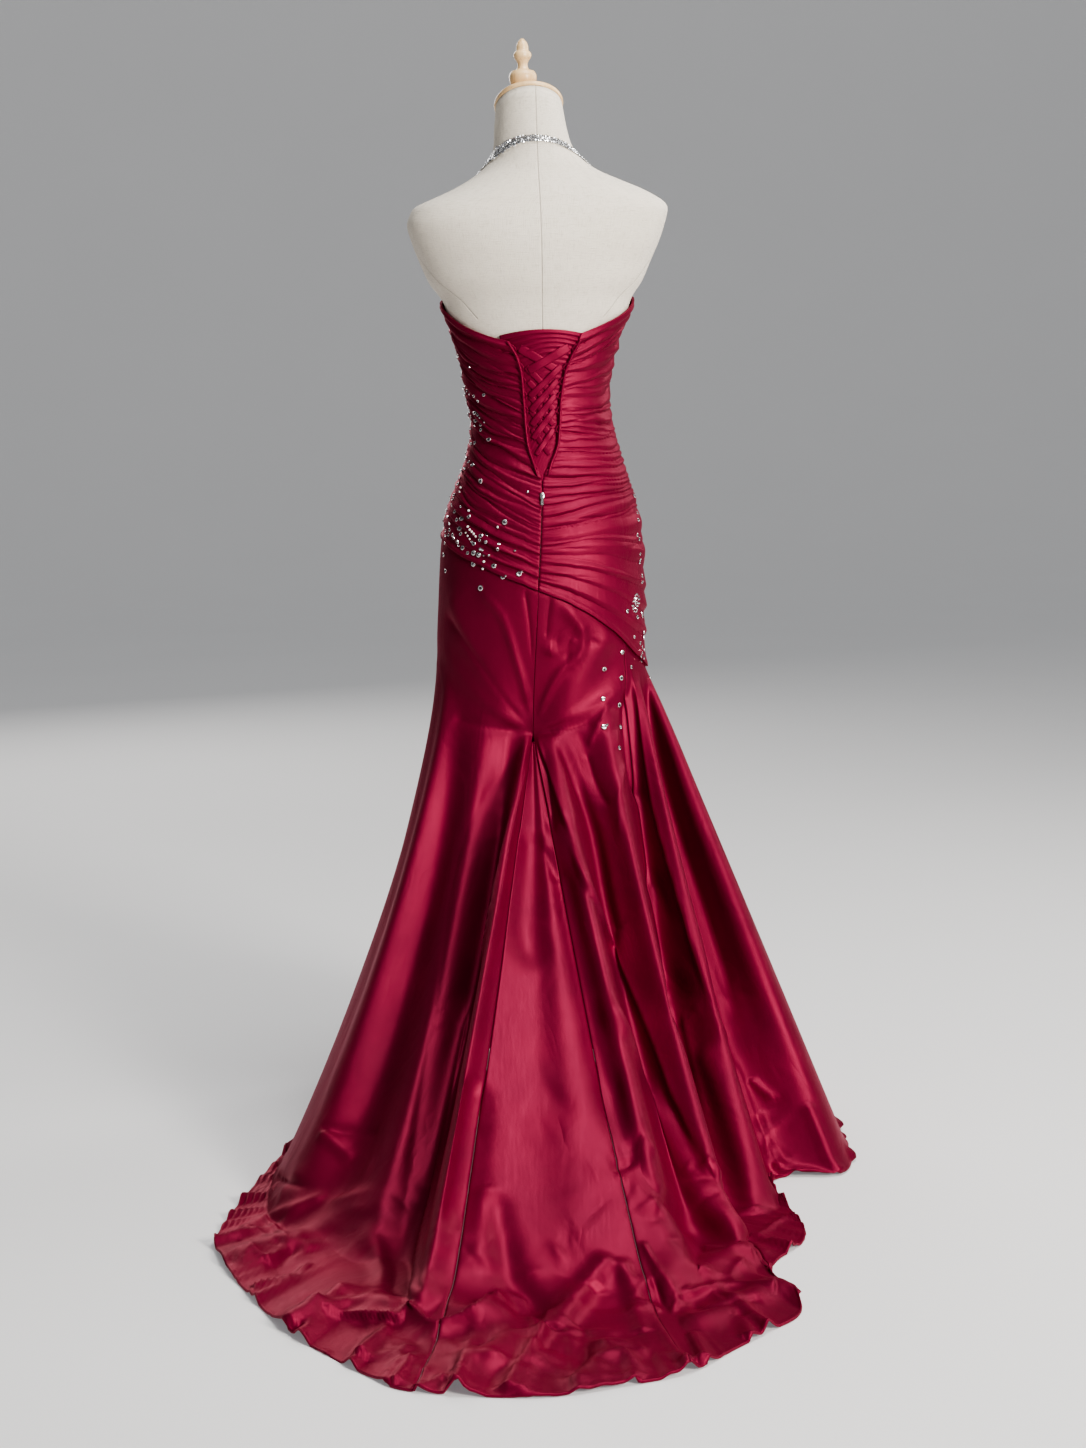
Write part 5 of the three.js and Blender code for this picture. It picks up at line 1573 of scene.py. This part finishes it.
# the bare form above the gown: height, middle, half width, middle in depth, depth to the back and front
bareSections = [
    (1275, 4, 161, 0, 92, 96), (1306, 4, 175, 0, 94, 88), (1335, 3, 187, 2, 92, 76),
    (1362, 2, 195, 4, 86, 62), (1380, -3, 194, 5, 80, 55), (1388, -5, 190, 5, 77, 54),
    (1396, -9, 177, 6, 74, 52), (1410, -13, 148, 5, 69, 51), (1424, -10, 118, 3, 64, 53),
    (1439, -4, 90, 0, 60, 56), (1455, 0, 71, -3, 58, 56), (1474, 4, 60, -6, 57, 53),
    (1500, 7, 55, -8, 56, 51),
]
neckTop = {"x": 9, "y": -8, "z": 1535, "half": 50, "depth": 55, "tilt": 27}
capLook = {"thick": 8, "rim": 2.5, "gap": 0.4}
finialPlace = (17, -8)
finialProfile = [
    (0, 11), (6, 11.5), (12, 15), (22, 20), (31, 20.5), (37, 17), (39, 10), (46, 7.5), (52, 9.5), (57, 13),
    (63, 13), (67, 9.5), (73, 9), (79, 7), (83, 3.5),
]
standLook = {"base": 150, "baseHigh": 22, "post": 14, "gap": 0.3, "foot": 10}
formGrid = (128, 150)
clothPerTurn = 2.9  # of the form's cover, for each degree


def formRing(row, deg, out=0.0, drop=0.0):
    z, x, half, y, back, front = row
    angle = np.radians(deg)
    depth = np.where(np.cos(angle) > 0, back, front)
    return np.stack([
        x + (half + out) * np.sin(angle),
        y + (depth + out) * np.cos(angle),
        np.full(len(deg), z - drop, float),
    ], 1)


def neckRing(deg, out=0.0, rise=0.0):
    tilt, angle = math.radians(neckTop["tilt"]), np.radians(deg)
    depth = (neckTop["depth"] + out) * np.cos(angle)
    return np.stack([
        neckTop["x"] + (neckTop["half"] + out) * np.sin(angle),
        neckTop["y"] + depth * math.cos(tilt) - rise * math.sin(tilt),
        neckTop["z"] + depth * math.sin(tilt) + rise * math.cos(tilt),
    ], 1)


def formRings(deg):
    # rings of the torso from its foot to the neck's sloping top, and how high each counts
    rows = []
    for z in lowHeights:
        x, half, back, front = (float(value) for value in bodySection(z))
        rows.append((z, x, half - formInset, 0, back - formInset, front - formInset))
    rows += bareSections
    rings = [formRing(row, deg) for row in rows] + [neckRing(deg)]
    keys = [row[0] for row in rows] + [neckTop["z"]]
    return np.array(rings), np.array(keys, float), rows[0]


def ringsAt(rings, keys, heights):
    # rings between the given ones, on a smooth curve up each column
    made = np.empty((len(heights), rings.shape[1], 3))
    last = len(keys) - 1
    for n, height in enumerate(heights):
        i = int(np.clip(np.searchsorted(keys, height) - 1, 0, last - 1))
        gap = keys[i + 1] - keys[i]
        t = (height - keys[i]) / gap
        low, high = rings[i], rings[i + 1]
        before = rings[i - 1] if i else 2 * low - high
        after = rings[i + 2] if i < last - 1 else 2 * high - low
        startGap = keys[i + 1] - keys[max(i - 1, 0)]
        endGap = keys[min(i + 2, last)] - keys[i]
        made[n] = throughTwo(low, high, (high - before) * gap / startGap, (after - low) * gap / endGap, t)
    return made


def makeForm():
    columns, rows = formGrid
    deg = 180 + np.linspace(0, 360, columns, endpoint=False)
    rings, keys, foot = formRings(deg)
    heights = np.linspace(keys[0], keys[-1], rows)
    points = ringsAt(rings, keys, heights).transpose(1, 0, 2)
    bend = np.linspace(0, math.pi / 2, 6)[:0:-1]
    drop = standLook["foot"]
    curl = [formRing(foot, deg, -drop * (1 - math.cos(b)), drop * math.sin(b)) for b in bend]
    points = np.concatenate([np.stack(curl, 1), points], 1)
    heights = np.concatenate([keys[0] - drop * np.sin(bend), heights])
    rows = len(heights)
    across = np.repeat((deg[:, None] - 360) * clothPerTurn, rows, 1)
    uv = np.stack([across, np.tile(heights, (columns, 1))], -1) * metre
    loops, sizes = cappedRings(columns, rows, clockwise=True)
    flat = np.array([len(sizes) - 2, len(sizes) - 1])
    mesh = meshFrom("form_torso", points, loops, sizes, uv, flat, 360 * clothPerTurn * metre)
    addPiece("form_torso", mesh, linen, ["form_torso"])


def makeCap():
    deg = np.linspace(0, 360, formGrid[0], endpoint=False)
    gap, thick, rim = capLook["gap"], capLook["thick"], capLook["rim"]
    rings = [neckRing(deg, 0, gap)]
    for b in np.linspace(-math.pi / 2, math.pi / 2, 11):
        rings.append(neckRing(deg, rim * math.cos(b) - 0.4, gap + thick / 2 * (1 + math.sin(b))))
    rings.append(neckRing(deg, -4, gap + thick + 0.3))
    points = np.stack(rings, 1)
    solid = (points, *cappedRings(*points.shape[:2], clockwise=True))
    addSolid("form_neck_cap", solid, maple, sharp=50)


def makeFinial():
    # upright on the sloping cap, so its foot clears the cap's raised back
    tilt = math.radians(neckTop["tilt"])
    slope = (finialPlace[1] - neckTop["y"] + finialProfile[0][1]) * math.tan(tilt)
    foot = neckTop["z"] + (capLook["gap"] + capLook["thick"]) / math.cos(tilt) + slope + standLook["gap"]
    heights, radii = np.array(finialProfile, float).T
    fine = np.linspace(0, heights[-1], 64)
    profile = [(0, radii[0] - 0.6)] + [(h, float(lookUp(heights, radii, h))) for h in fine[1:]]
    profile += [(84.2, 2.2), (84.5, 0.8)]
    addSolid("form_finial", turnedSolid(profile, 56, (*finialPlace, foot)), maple)


def makeStand():
    base, high, post, gap = (standLook[key] for key in ("base", "baseHigh", "post", "gap"))
    profile = [
        (0, base - 3), (0.9, base - 0.9), (3, base), (high - 7, base), (high - 3.5, base - 1.6),
        (high - 1, base - 5), (high, base - 9),
    ]
    addSolid("stand_base", turnedSolid(profile, 128), maple, sharp=40)
    top = lowHeights[0] - standLook["foot"] - gap
    addSolid("stand_post", turnedSolid([(high + gap, post), (top, post)], 64), maple, sharp=40)


makeForm()
makeCap()
makeFinial()
makeStand()
print("dress form made")


# beads

# profiles of the small parts, as (height, radius) shares of the bead's radius
brilliant = [(0, 0.7), (0.22, 0.96), (0.34, 1.0), (0.62, 0.66), (0.66, 0.3)]
cupSetting = [(0, 0.86), (0.2, 1.0), (0.42, 0.97), (0.55, 0.74), (0.5, 0.5)]
domeCentre = [(0.4, 0.5), (0.58, 0.46), (0.72, 0.3), (0.76, 0.1)]
roundBead = [(0, 0.3), (0.2, 0.72), (0.6, 1.0), (1.05, 0.8), (1.3, 0.3)]

# beads sewn on the cloth: place in the camera's frame, diameter, and kind
sewnBeads = [
    (458, 356, 5, "cup"), (470, 367, 3.5, "bead"), (461, 373, 3, "bead"), (462, 377, 4, "bead"),
    (467, 391, 4, "cup"), (470, 394, 3.5, "bead"), (474, 396, 4.5, "cup"), (478, 401, 5, "cup"),
    (484, 395, 5, "cup"), (467, 404, 3, "bead"), (468, 408, 3, "bead"), (470, 412, 3, "bead"),
    (471, 417, 4.5, "cup"), (475, 413, 6, "cup"), (478, 415, 5, "cup"), (480, 418, 3, "bead"),
    (476, 421, 6, "cup"), (481, 425, 5, "cup"), (481, 430, 5, "cup"), (485, 422, 3.5, "bead"),
    (475, 426, 3, "bead"), (471, 429, 4, "bead"), (489, 440, 7, "cup"), (471, 438, 4, "bead"),
    (471, 444, 5, "cup"), (475, 443, 5, "cup"), (466, 454, 5, "cup"), (466, 458, 5, "cup"),
    (469, 462, 5, "cup"), (473, 465, 6.5, "cup"), (465, 469, 4, "bead"), (460, 471, 4, "bead"),
    (481, 481, 7.5, "cup"), (528, 492, 3.5, "bead"), (460, 478, 3.5, "bead"), (458, 484, 5, "cup"),
    (461, 488, 3.5, "rose"), (460, 492, 3.5, "bead"), (454, 495, 5, "cup"), (453, 499, 5, "cup"),
    (452, 505, 5.5, "cup"), (447, 511, 4, "bead"), (455, 512, 5.5, "cup"), (461, 507, 3.5, "bead"),
    (469, 511, 4, "rose"), (457, 520, 5.5, "cup"), (462, 519, 8, "cup"), (469, 517, 6, "cup"),
    (460, 529, 8, "cup"), (461, 534, 5.5, "cup"), (468, 527, 3.6, "rose"), (470, 530, 3.6, "rose"),
    (472, 532, 3.6, "rose"), (474, 534, 3.6, "rose"), (476, 536, 3.6, "rose"), (466, 533, 3.2, "rose"),
    (468, 536, 3.2, "rose"), (470, 539, 3.2, "rose"), (472, 542, 4.5, "cup"), (474, 544, 6, "cup"),
    (481, 536, 6.5, "cup"), (480, 540, 5.5, "cup"), (487, 535, 5, "cup"), (486, 542, 5, "cup"),
    (498, 527, 3.5, "rose"), (499, 544, 4.5, "cup"), (498, 549, 6, "cup"), (515, 551, 4, "bead"),
    (505, 522, 7.5, "cup"), (481, 549, 5, "bead"), (483, 550, 4, "bead"), (474, 553, 7.5, "cup"),
    (479, 555, 7.5, "cup"), (484, 556, 3.5, "bead"), (489, 556, 4, "bead"), (468, 553, 5, "cup"),
    (463, 548, 6.5, "cup"), (458, 542, 6.5, "cup"), (459, 546, 3.5, "bead"), (453, 535, 5.5, "cup"),
    (450, 530, 5, "cup"), (449, 535, 5, "cup"), (446, 531, 4.5, "cup"), (446, 536, 4, "bead"),
    (445, 543, 4.5, "cup"), (454, 538, 5, "cup"), (450, 524, 4, "bead"), (448, 517, 4, "bead"),
    (474, 564, 8, "cup"), (444, 555, 6, "cup"), (446, 571, 6, "cup"), (484, 562, 4, "rose"),
    (483, 569, 4, "rose"), (494, 566, 7, "cup"), (519, 574, 7.5, "cup"), (522, 572, 4, "bead"),
    (503, 577, 6.5, "cup"), (506, 576, 3.5, "bead"), (481, 588, 8, "cup"), (634, 496, 6.5, "cup"),
    (637, 513, 4.5, "cup"), (638, 520, 5.5, "cup"), (637, 535, 5.5, "cup"), (639, 539, 5.5, "cup"),
    (640, 554, 4.5, "cup"), (640, 560, 5, "cup"), (639, 563, 3.5, "bead"), (642, 576, 5, "cup"),
    (642, 582, 5, "cup"), (627, 611, 6, "cup"), (637, 617, 6, "cup"), (642, 616, 6, "cup"),
    (641, 613, 3.5, "bead"), (643, 632, 4, "bead"), (643, 635, 4, "bead"), (643, 638, 4, "bead"),
    (634, 637, 5, "cup"), (640, 643, 5, "cup"), (642, 647, 4.5, "cup"), (643, 650, 4, "bead"),
    (642, 653, 4.5, "cup"), (641, 656, 5, "cup"), (643, 658, 4, "bead"), (641, 661, 5, "cup"),
    (622, 652, 6.5, "cup"), (604, 669, 7, "cup"), (621, 678, 6.5, "cup"), (631, 667, 5, "cup"),
    (650, 678, 5, "cup"), (603, 699, 6.5, "cup"), (619, 705, 6.5, "cup"), (604, 727, 8, "cup"),
    (607, 725, 4, "bead"), (620, 727, 6.5, "cup"), (619, 748, 6.5, "cup"),
]
# the oval cluster on the right hip: middle in the camera's frame, size, and rings of stones as share,
# number and size
medallion = {"at": (636, 603), "size": (18, 27), "rings": ((1.0, 15, 3.4), (0.6, 9, 3.6), (0.22, 4, 3.0))}
# the same spray goes on round the left hip to the front, out of the camera's sight; it gathers towards
# a height as it goes
sprayHidden = {
    "seed": 4, "count": 90, "deg": (92, 150), "z": (905, 1195), "diameter": (3.2, 7.5), "cupFrom": 4.4,
    "gather": 0.25, "gatherAt": 930, "scatter": 8,
}
beadLook = {"larger": 1.12, "tilt": 0.14, "sink": 0.15, "seed": 8}


def standOn(part, centre, normal, size, spin=0.0):
    # a small part drawn upright, set on a surface
    side = unit(np.cross(normal, [0.31, 0.17, 0.93]))
    other = np.cross(normal, side)
    across = side * math.cos(spin) + other * math.sin(spin)
    axes = np.array([across, np.cross(normal, across), normal])
    return centre + (part[0] * size) @ axes, part[1], part[2]


def beadParts(kind, centre, normal, radius, spin):
    # the parts of one bead, as (material, part)
    if kind == "cup":
        cup = standOn(turnedSolid(cupSetting, 10), centre, normal, radius, spin)
        return [("silver", cup), ("dark", standOn(turnedSolid(domeCentre, 8), centre, normal, radius, spin))]
    if kind == "stone":
        return [("crystal", standOn(turnedSolid(brilliant, 7), centre, normal, radius, spin))]
    part = standOn(turnedSolid(roundBead, 8), centre, normal, radius, spin)
    return [("rose" if kind == "rose" else "crystal", part)]


beadMaterials = {"silver": silver, "dark": darkStone, "crystal": crystal, "rose": pearl}


def addBeads(name, parts, replaces=()):
    # one piece for each material; only the first stands for the node
    for material in beadMaterials:
        chosen = [part for key, part in parts if key == material]
        if chosen:
            mesh = meshFrom(name + material.capitalize(), *joinMeshes(chosen))
            if material != "rose":
                mesh.shade_flat()
            addPiece(mesh.name, mesh, beadMaterials[material], replaces)
            replaces = ()


def sewBeads():
    draw = np.random.default_rng(beadLook["seed"])
    tree, corners = searchTree([*bodice.values(), *(grid[::2, ::2] for grid in skirt.values())])
    samples = np.concatenate([points[::7] for points in corners])
    points = layOnCloth(tree, samples, [(x, y) for x, y, _, _ in sewnBeads])
    parts = []

    def sew(point, size, kind):
        nearest, normal = tree.find_nearest(Vector(point))[:2]
        normal = np.array(normal)
        middle = bodyPoint(0, nearest[2], 0) * [0, 0, 1]
        if normal @ (np.array(nearest) - middle) < 0:
            normal = -normal
        centre = np.array(nearest) - normal * beadLook["sink"]
        parts.extend(beadParts(kind, centre, normal, size / 2, draw.uniform(0, 6)))

    for point, (_, _, size, kind) in zip(points, sewnBeads):
        sew(point, size * beadLook["larger"], kind)
    middle = layOnCloth(tree, samples, [medallion["at"]])[0]
    side = unit(np.cross(up, middle * [1, 1, 0]))
    for share, count, size in medallion["rings"]:
        for turn in np.linspace(0, 2 * math.pi, count, endpoint=False):
            across, high = (half / 2 * share for half in medallion["size"])
            sew(middle + side * across * math.cos(turn) + up * high * math.sin(turn), size, "stone")
    look = sprayHidden
    spray = np.random.default_rng(look["seed"])
    for _ in range(look["count"]):
        t = spray.beta(1.2, 2.2)
        deg = mix(*look["deg"], t)
        z = spray.uniform(*look["z"]) * (1 - look["gather"] * t) + look["gather"] * t * look["gatherAt"]
        z += spray.normal(0, look["scatter"])
        size = spray.uniform(*look["diameter"])
        sew(bodyPoint(deg, z, 2), size, "cup" if size > look["cupFrom"] else "bead")
    addBeads("sewnBeads", parts)


# the beaded halter strap: angle and height on the form, and width
strapRoute = [
    (195, 1243, 12), (196, 1262, 12), (206, 1330, 12), (222, 1392, 12), (243, 1430, 11), (268, 1452, 11),
    (300, 1468, 10), (330, 1480, 10), (360, 1484, 11), (390, 1480, 13), (420, 1467, 15), (452, 1450, 16),
    (477, 1430, 16), (498, 1392, 16), (514, 1330, 16), (524, 1262, 16), (525, 1243, 16),
]
strapLook = {"seat": 0.9, "thick": 0.7, "stone": 3.5, "steps": 220, "seed": 31, "large": 5.4, "often": 3}


def makeStrap():
    look = strapLook
    route = curveThrough(strapRoute, look["steps"])
    keys = formRings(np.array([0.0]))[1]
    around = np.concatenate([route[:, 0], route[:, 0] + 1, route[:, 0]])
    heights = np.concatenate([route[:, 1], route[:, 1], route[:, 1] + 4])
    places = []
    for deg, z in zip(around, heights):
        rings = formRings(np.array([deg]))[0]
        places.append(ringsAt(rings, keys, [z])[0, 0])
    seat, beside, above = np.array(places).reshape(3, -1, 3)
    normals = unit(np.cross(beside - seat, above - seat))
    normals *= np.sign(np.einsum("ij,ij->i", normals, seat * [1, 1, 0]))[:, None]
    path = seat + normals * (look["seat"] + look["thick"] / 2)
    width = route[:, 2]
    band = tubeMesh(path, width / 2 * 0.7, 8, look["thick"] / 10, normals)
    addPiece("strapBand", meshFrom("strapBand", *band), greyBand, ["halter_strap"])
    length = runLength(path)
    along = unit(np.gradient(path, axis=0))
    draw = np.random.default_rng(look["seed"])
    parts = []
    for number, at in enumerate(np.arange(2, length[-1] - 2, look["stone"] * 1.04)):
        place, normal, ahead = (
            np.array([np.interp(at, length, column) for column in line.T]) for line in (path, normals, along)
        )
        wide = np.interp(at, length, width)
        across = np.cross(normal, ahead)
        rows = max(2, int(round(wide / (look["stone"] * 1.12))))
        chunky = smoothStep(wide, 11.5, 14)
        for row in range(rows):
            offset = (row - (rows - 1) / 2) * wide / rows
            shift = draw.normal(0, 0.25 + 0.5 * chunky, 2)
            size = look["stone"] * draw.uniform(0.82, 1.08) * (1 + 0.25 * chunky * draw.random())
            centre = place + across * (offset + shift[0]) + ahead * shift[1] + normal * look["thick"] * 0.35
            tilted = unit(normal + draw.normal(0, beadLook["tilt"], 3))
            parts.extend(beadParts("stone", centre, tilted, size / 2, draw.uniform(0, 6)))
        if chunky > 0.3 and number % look["often"] == 0:
            centre = place + across * draw.normal(0, wide * 0.22) + normal * (look["thick"] * 0.35 + 0.9)
            parts.extend(beadParts("stone", centre, normal, look["large"] / 2, draw.uniform(0, 6)))
    addBeads("strapStones", parts)


sewBeads()
makeStrap()
print("beads sewn")


# floor, backdrop and lights

def makeStage():
    sweep = {"left": -16000, "right": 16000, "near": 14000, "far": -13000, "bend": 4500, "high": 9000}
    far, bend = sweep["far"], sweep["bend"]
    profile = [(sweep["near"], 0), (0, 0), (far + bend, 0)]
    for turn in np.radians(np.arange(10, 91, 10)):
        profile.append((far + bend * (1 - math.sin(turn)), bend * (1 - math.cos(turn))))
    profile.append((sweep["far"], sweep["high"]))
    grid = np.array([[(x, y, z) for y, z in profile] for x in (sweep["left"], sweep["right"])], float)
    quads = gridQuads(2, len(profile))
    stage = bpy.data.objects.new("stage", meshFrom("stage", grid, quads, np.full(len(quads), 4)))
    bpy.context.scene.collection.objects.link(stage)
    material, tree, shader = newMaterial("stagePaint", {
        "Roughness": 0.8, "Specular IOR Level": 0.2, "Emission Color": (0.95, 0.97, 1.0, 1),
        "Emission Strength": 0.16,
    })
    cloud = noiseNode(tree, partPlace(tree), 1.2, 3.0)
    tree.links.new(mixColour(tree, cloud, (0.66, 0.65, 0.64, 1), (0.70, 0.69, 0.68, 1)), shader["Base Color"])
    stage.data.materials.append(material)


# lamps: where they stand, where they point, size, power and colour
lamps = {
    "key": {
        "at": (-2.3, 3.7, 2.1), "to": (0.0, 0.3, 0.6),
        "size": (1.1, 1.3), "power": 215, "colour": (1.0, 0.97, 0.93),
    },
    "fill": {
        "at": (2.8, 3.4, 1.6), "to": (0.0, 0.2, 0.8),
        "size": (2.2, 2.2), "power": 3, "colour": (0.95, 0.97, 1.0),
    },
    "rim": {
        "at": (-2.4, -1.2, 2.2), "to": (0.0, 0.0, 0.9),
        "size": (0.8, 1.6), "power": 26, "colour": (1.0, 0.98, 0.96),
    },
    "front": {
        "at": (1.4, -4.2, 2.6), "to": (0.0, 0.0, 0.9),
        "size": (2.4, 2.4), "power": 70, "colour": (1.0, 0.98, 0.96),
    },
    "top": {
        "at": (-0.8, 0.9, 3.4), "to": (-0.05, 0.55, 0.3),
        "size": (1.5, 1.5), "power": 80, "colour": (1.0, 1.0, 1.0),
    },
}
worldLook = {"colour": (0.62, 0.63, 0.66, 1), "strength": 0.24}


def makeLights():
    for name, lamp in lamps.items():
        data = bpy.data.lights.new(name, "AREA")
        data.shape = "RECTANGLE"
        data.size, data.size_y = lamp["size"]
        data.energy = lamp["power"]
        data.color = lamp["colour"]
        light = bpy.data.objects.new(name, data)
        light.location = lamp["at"]
        aim = Vector(lamp["to"]) - Vector(lamp["at"])
        light.rotation_mode = "QUATERNION"
        light.rotation_quaternion = aim.to_track_quat("-Z", "Y")
        bpy.context.scene.collection.objects.link(light)
    world = bpy.data.worlds.new("studio")
    world.use_nodes = True
    background = world.node_tree.nodes["Background"]
    background.inputs["Color"].default_value = worldLook["colour"]
    background.inputs["Strength"].default_value = worldLook["strength"]
    bpy.context.scene.world = world


makeStage()
makeLights()
bpy.context.scene.view_settings.view_transform = "AgX"
bpy.context.scene.view_settings.look = "AgX - Medium High Contrast"
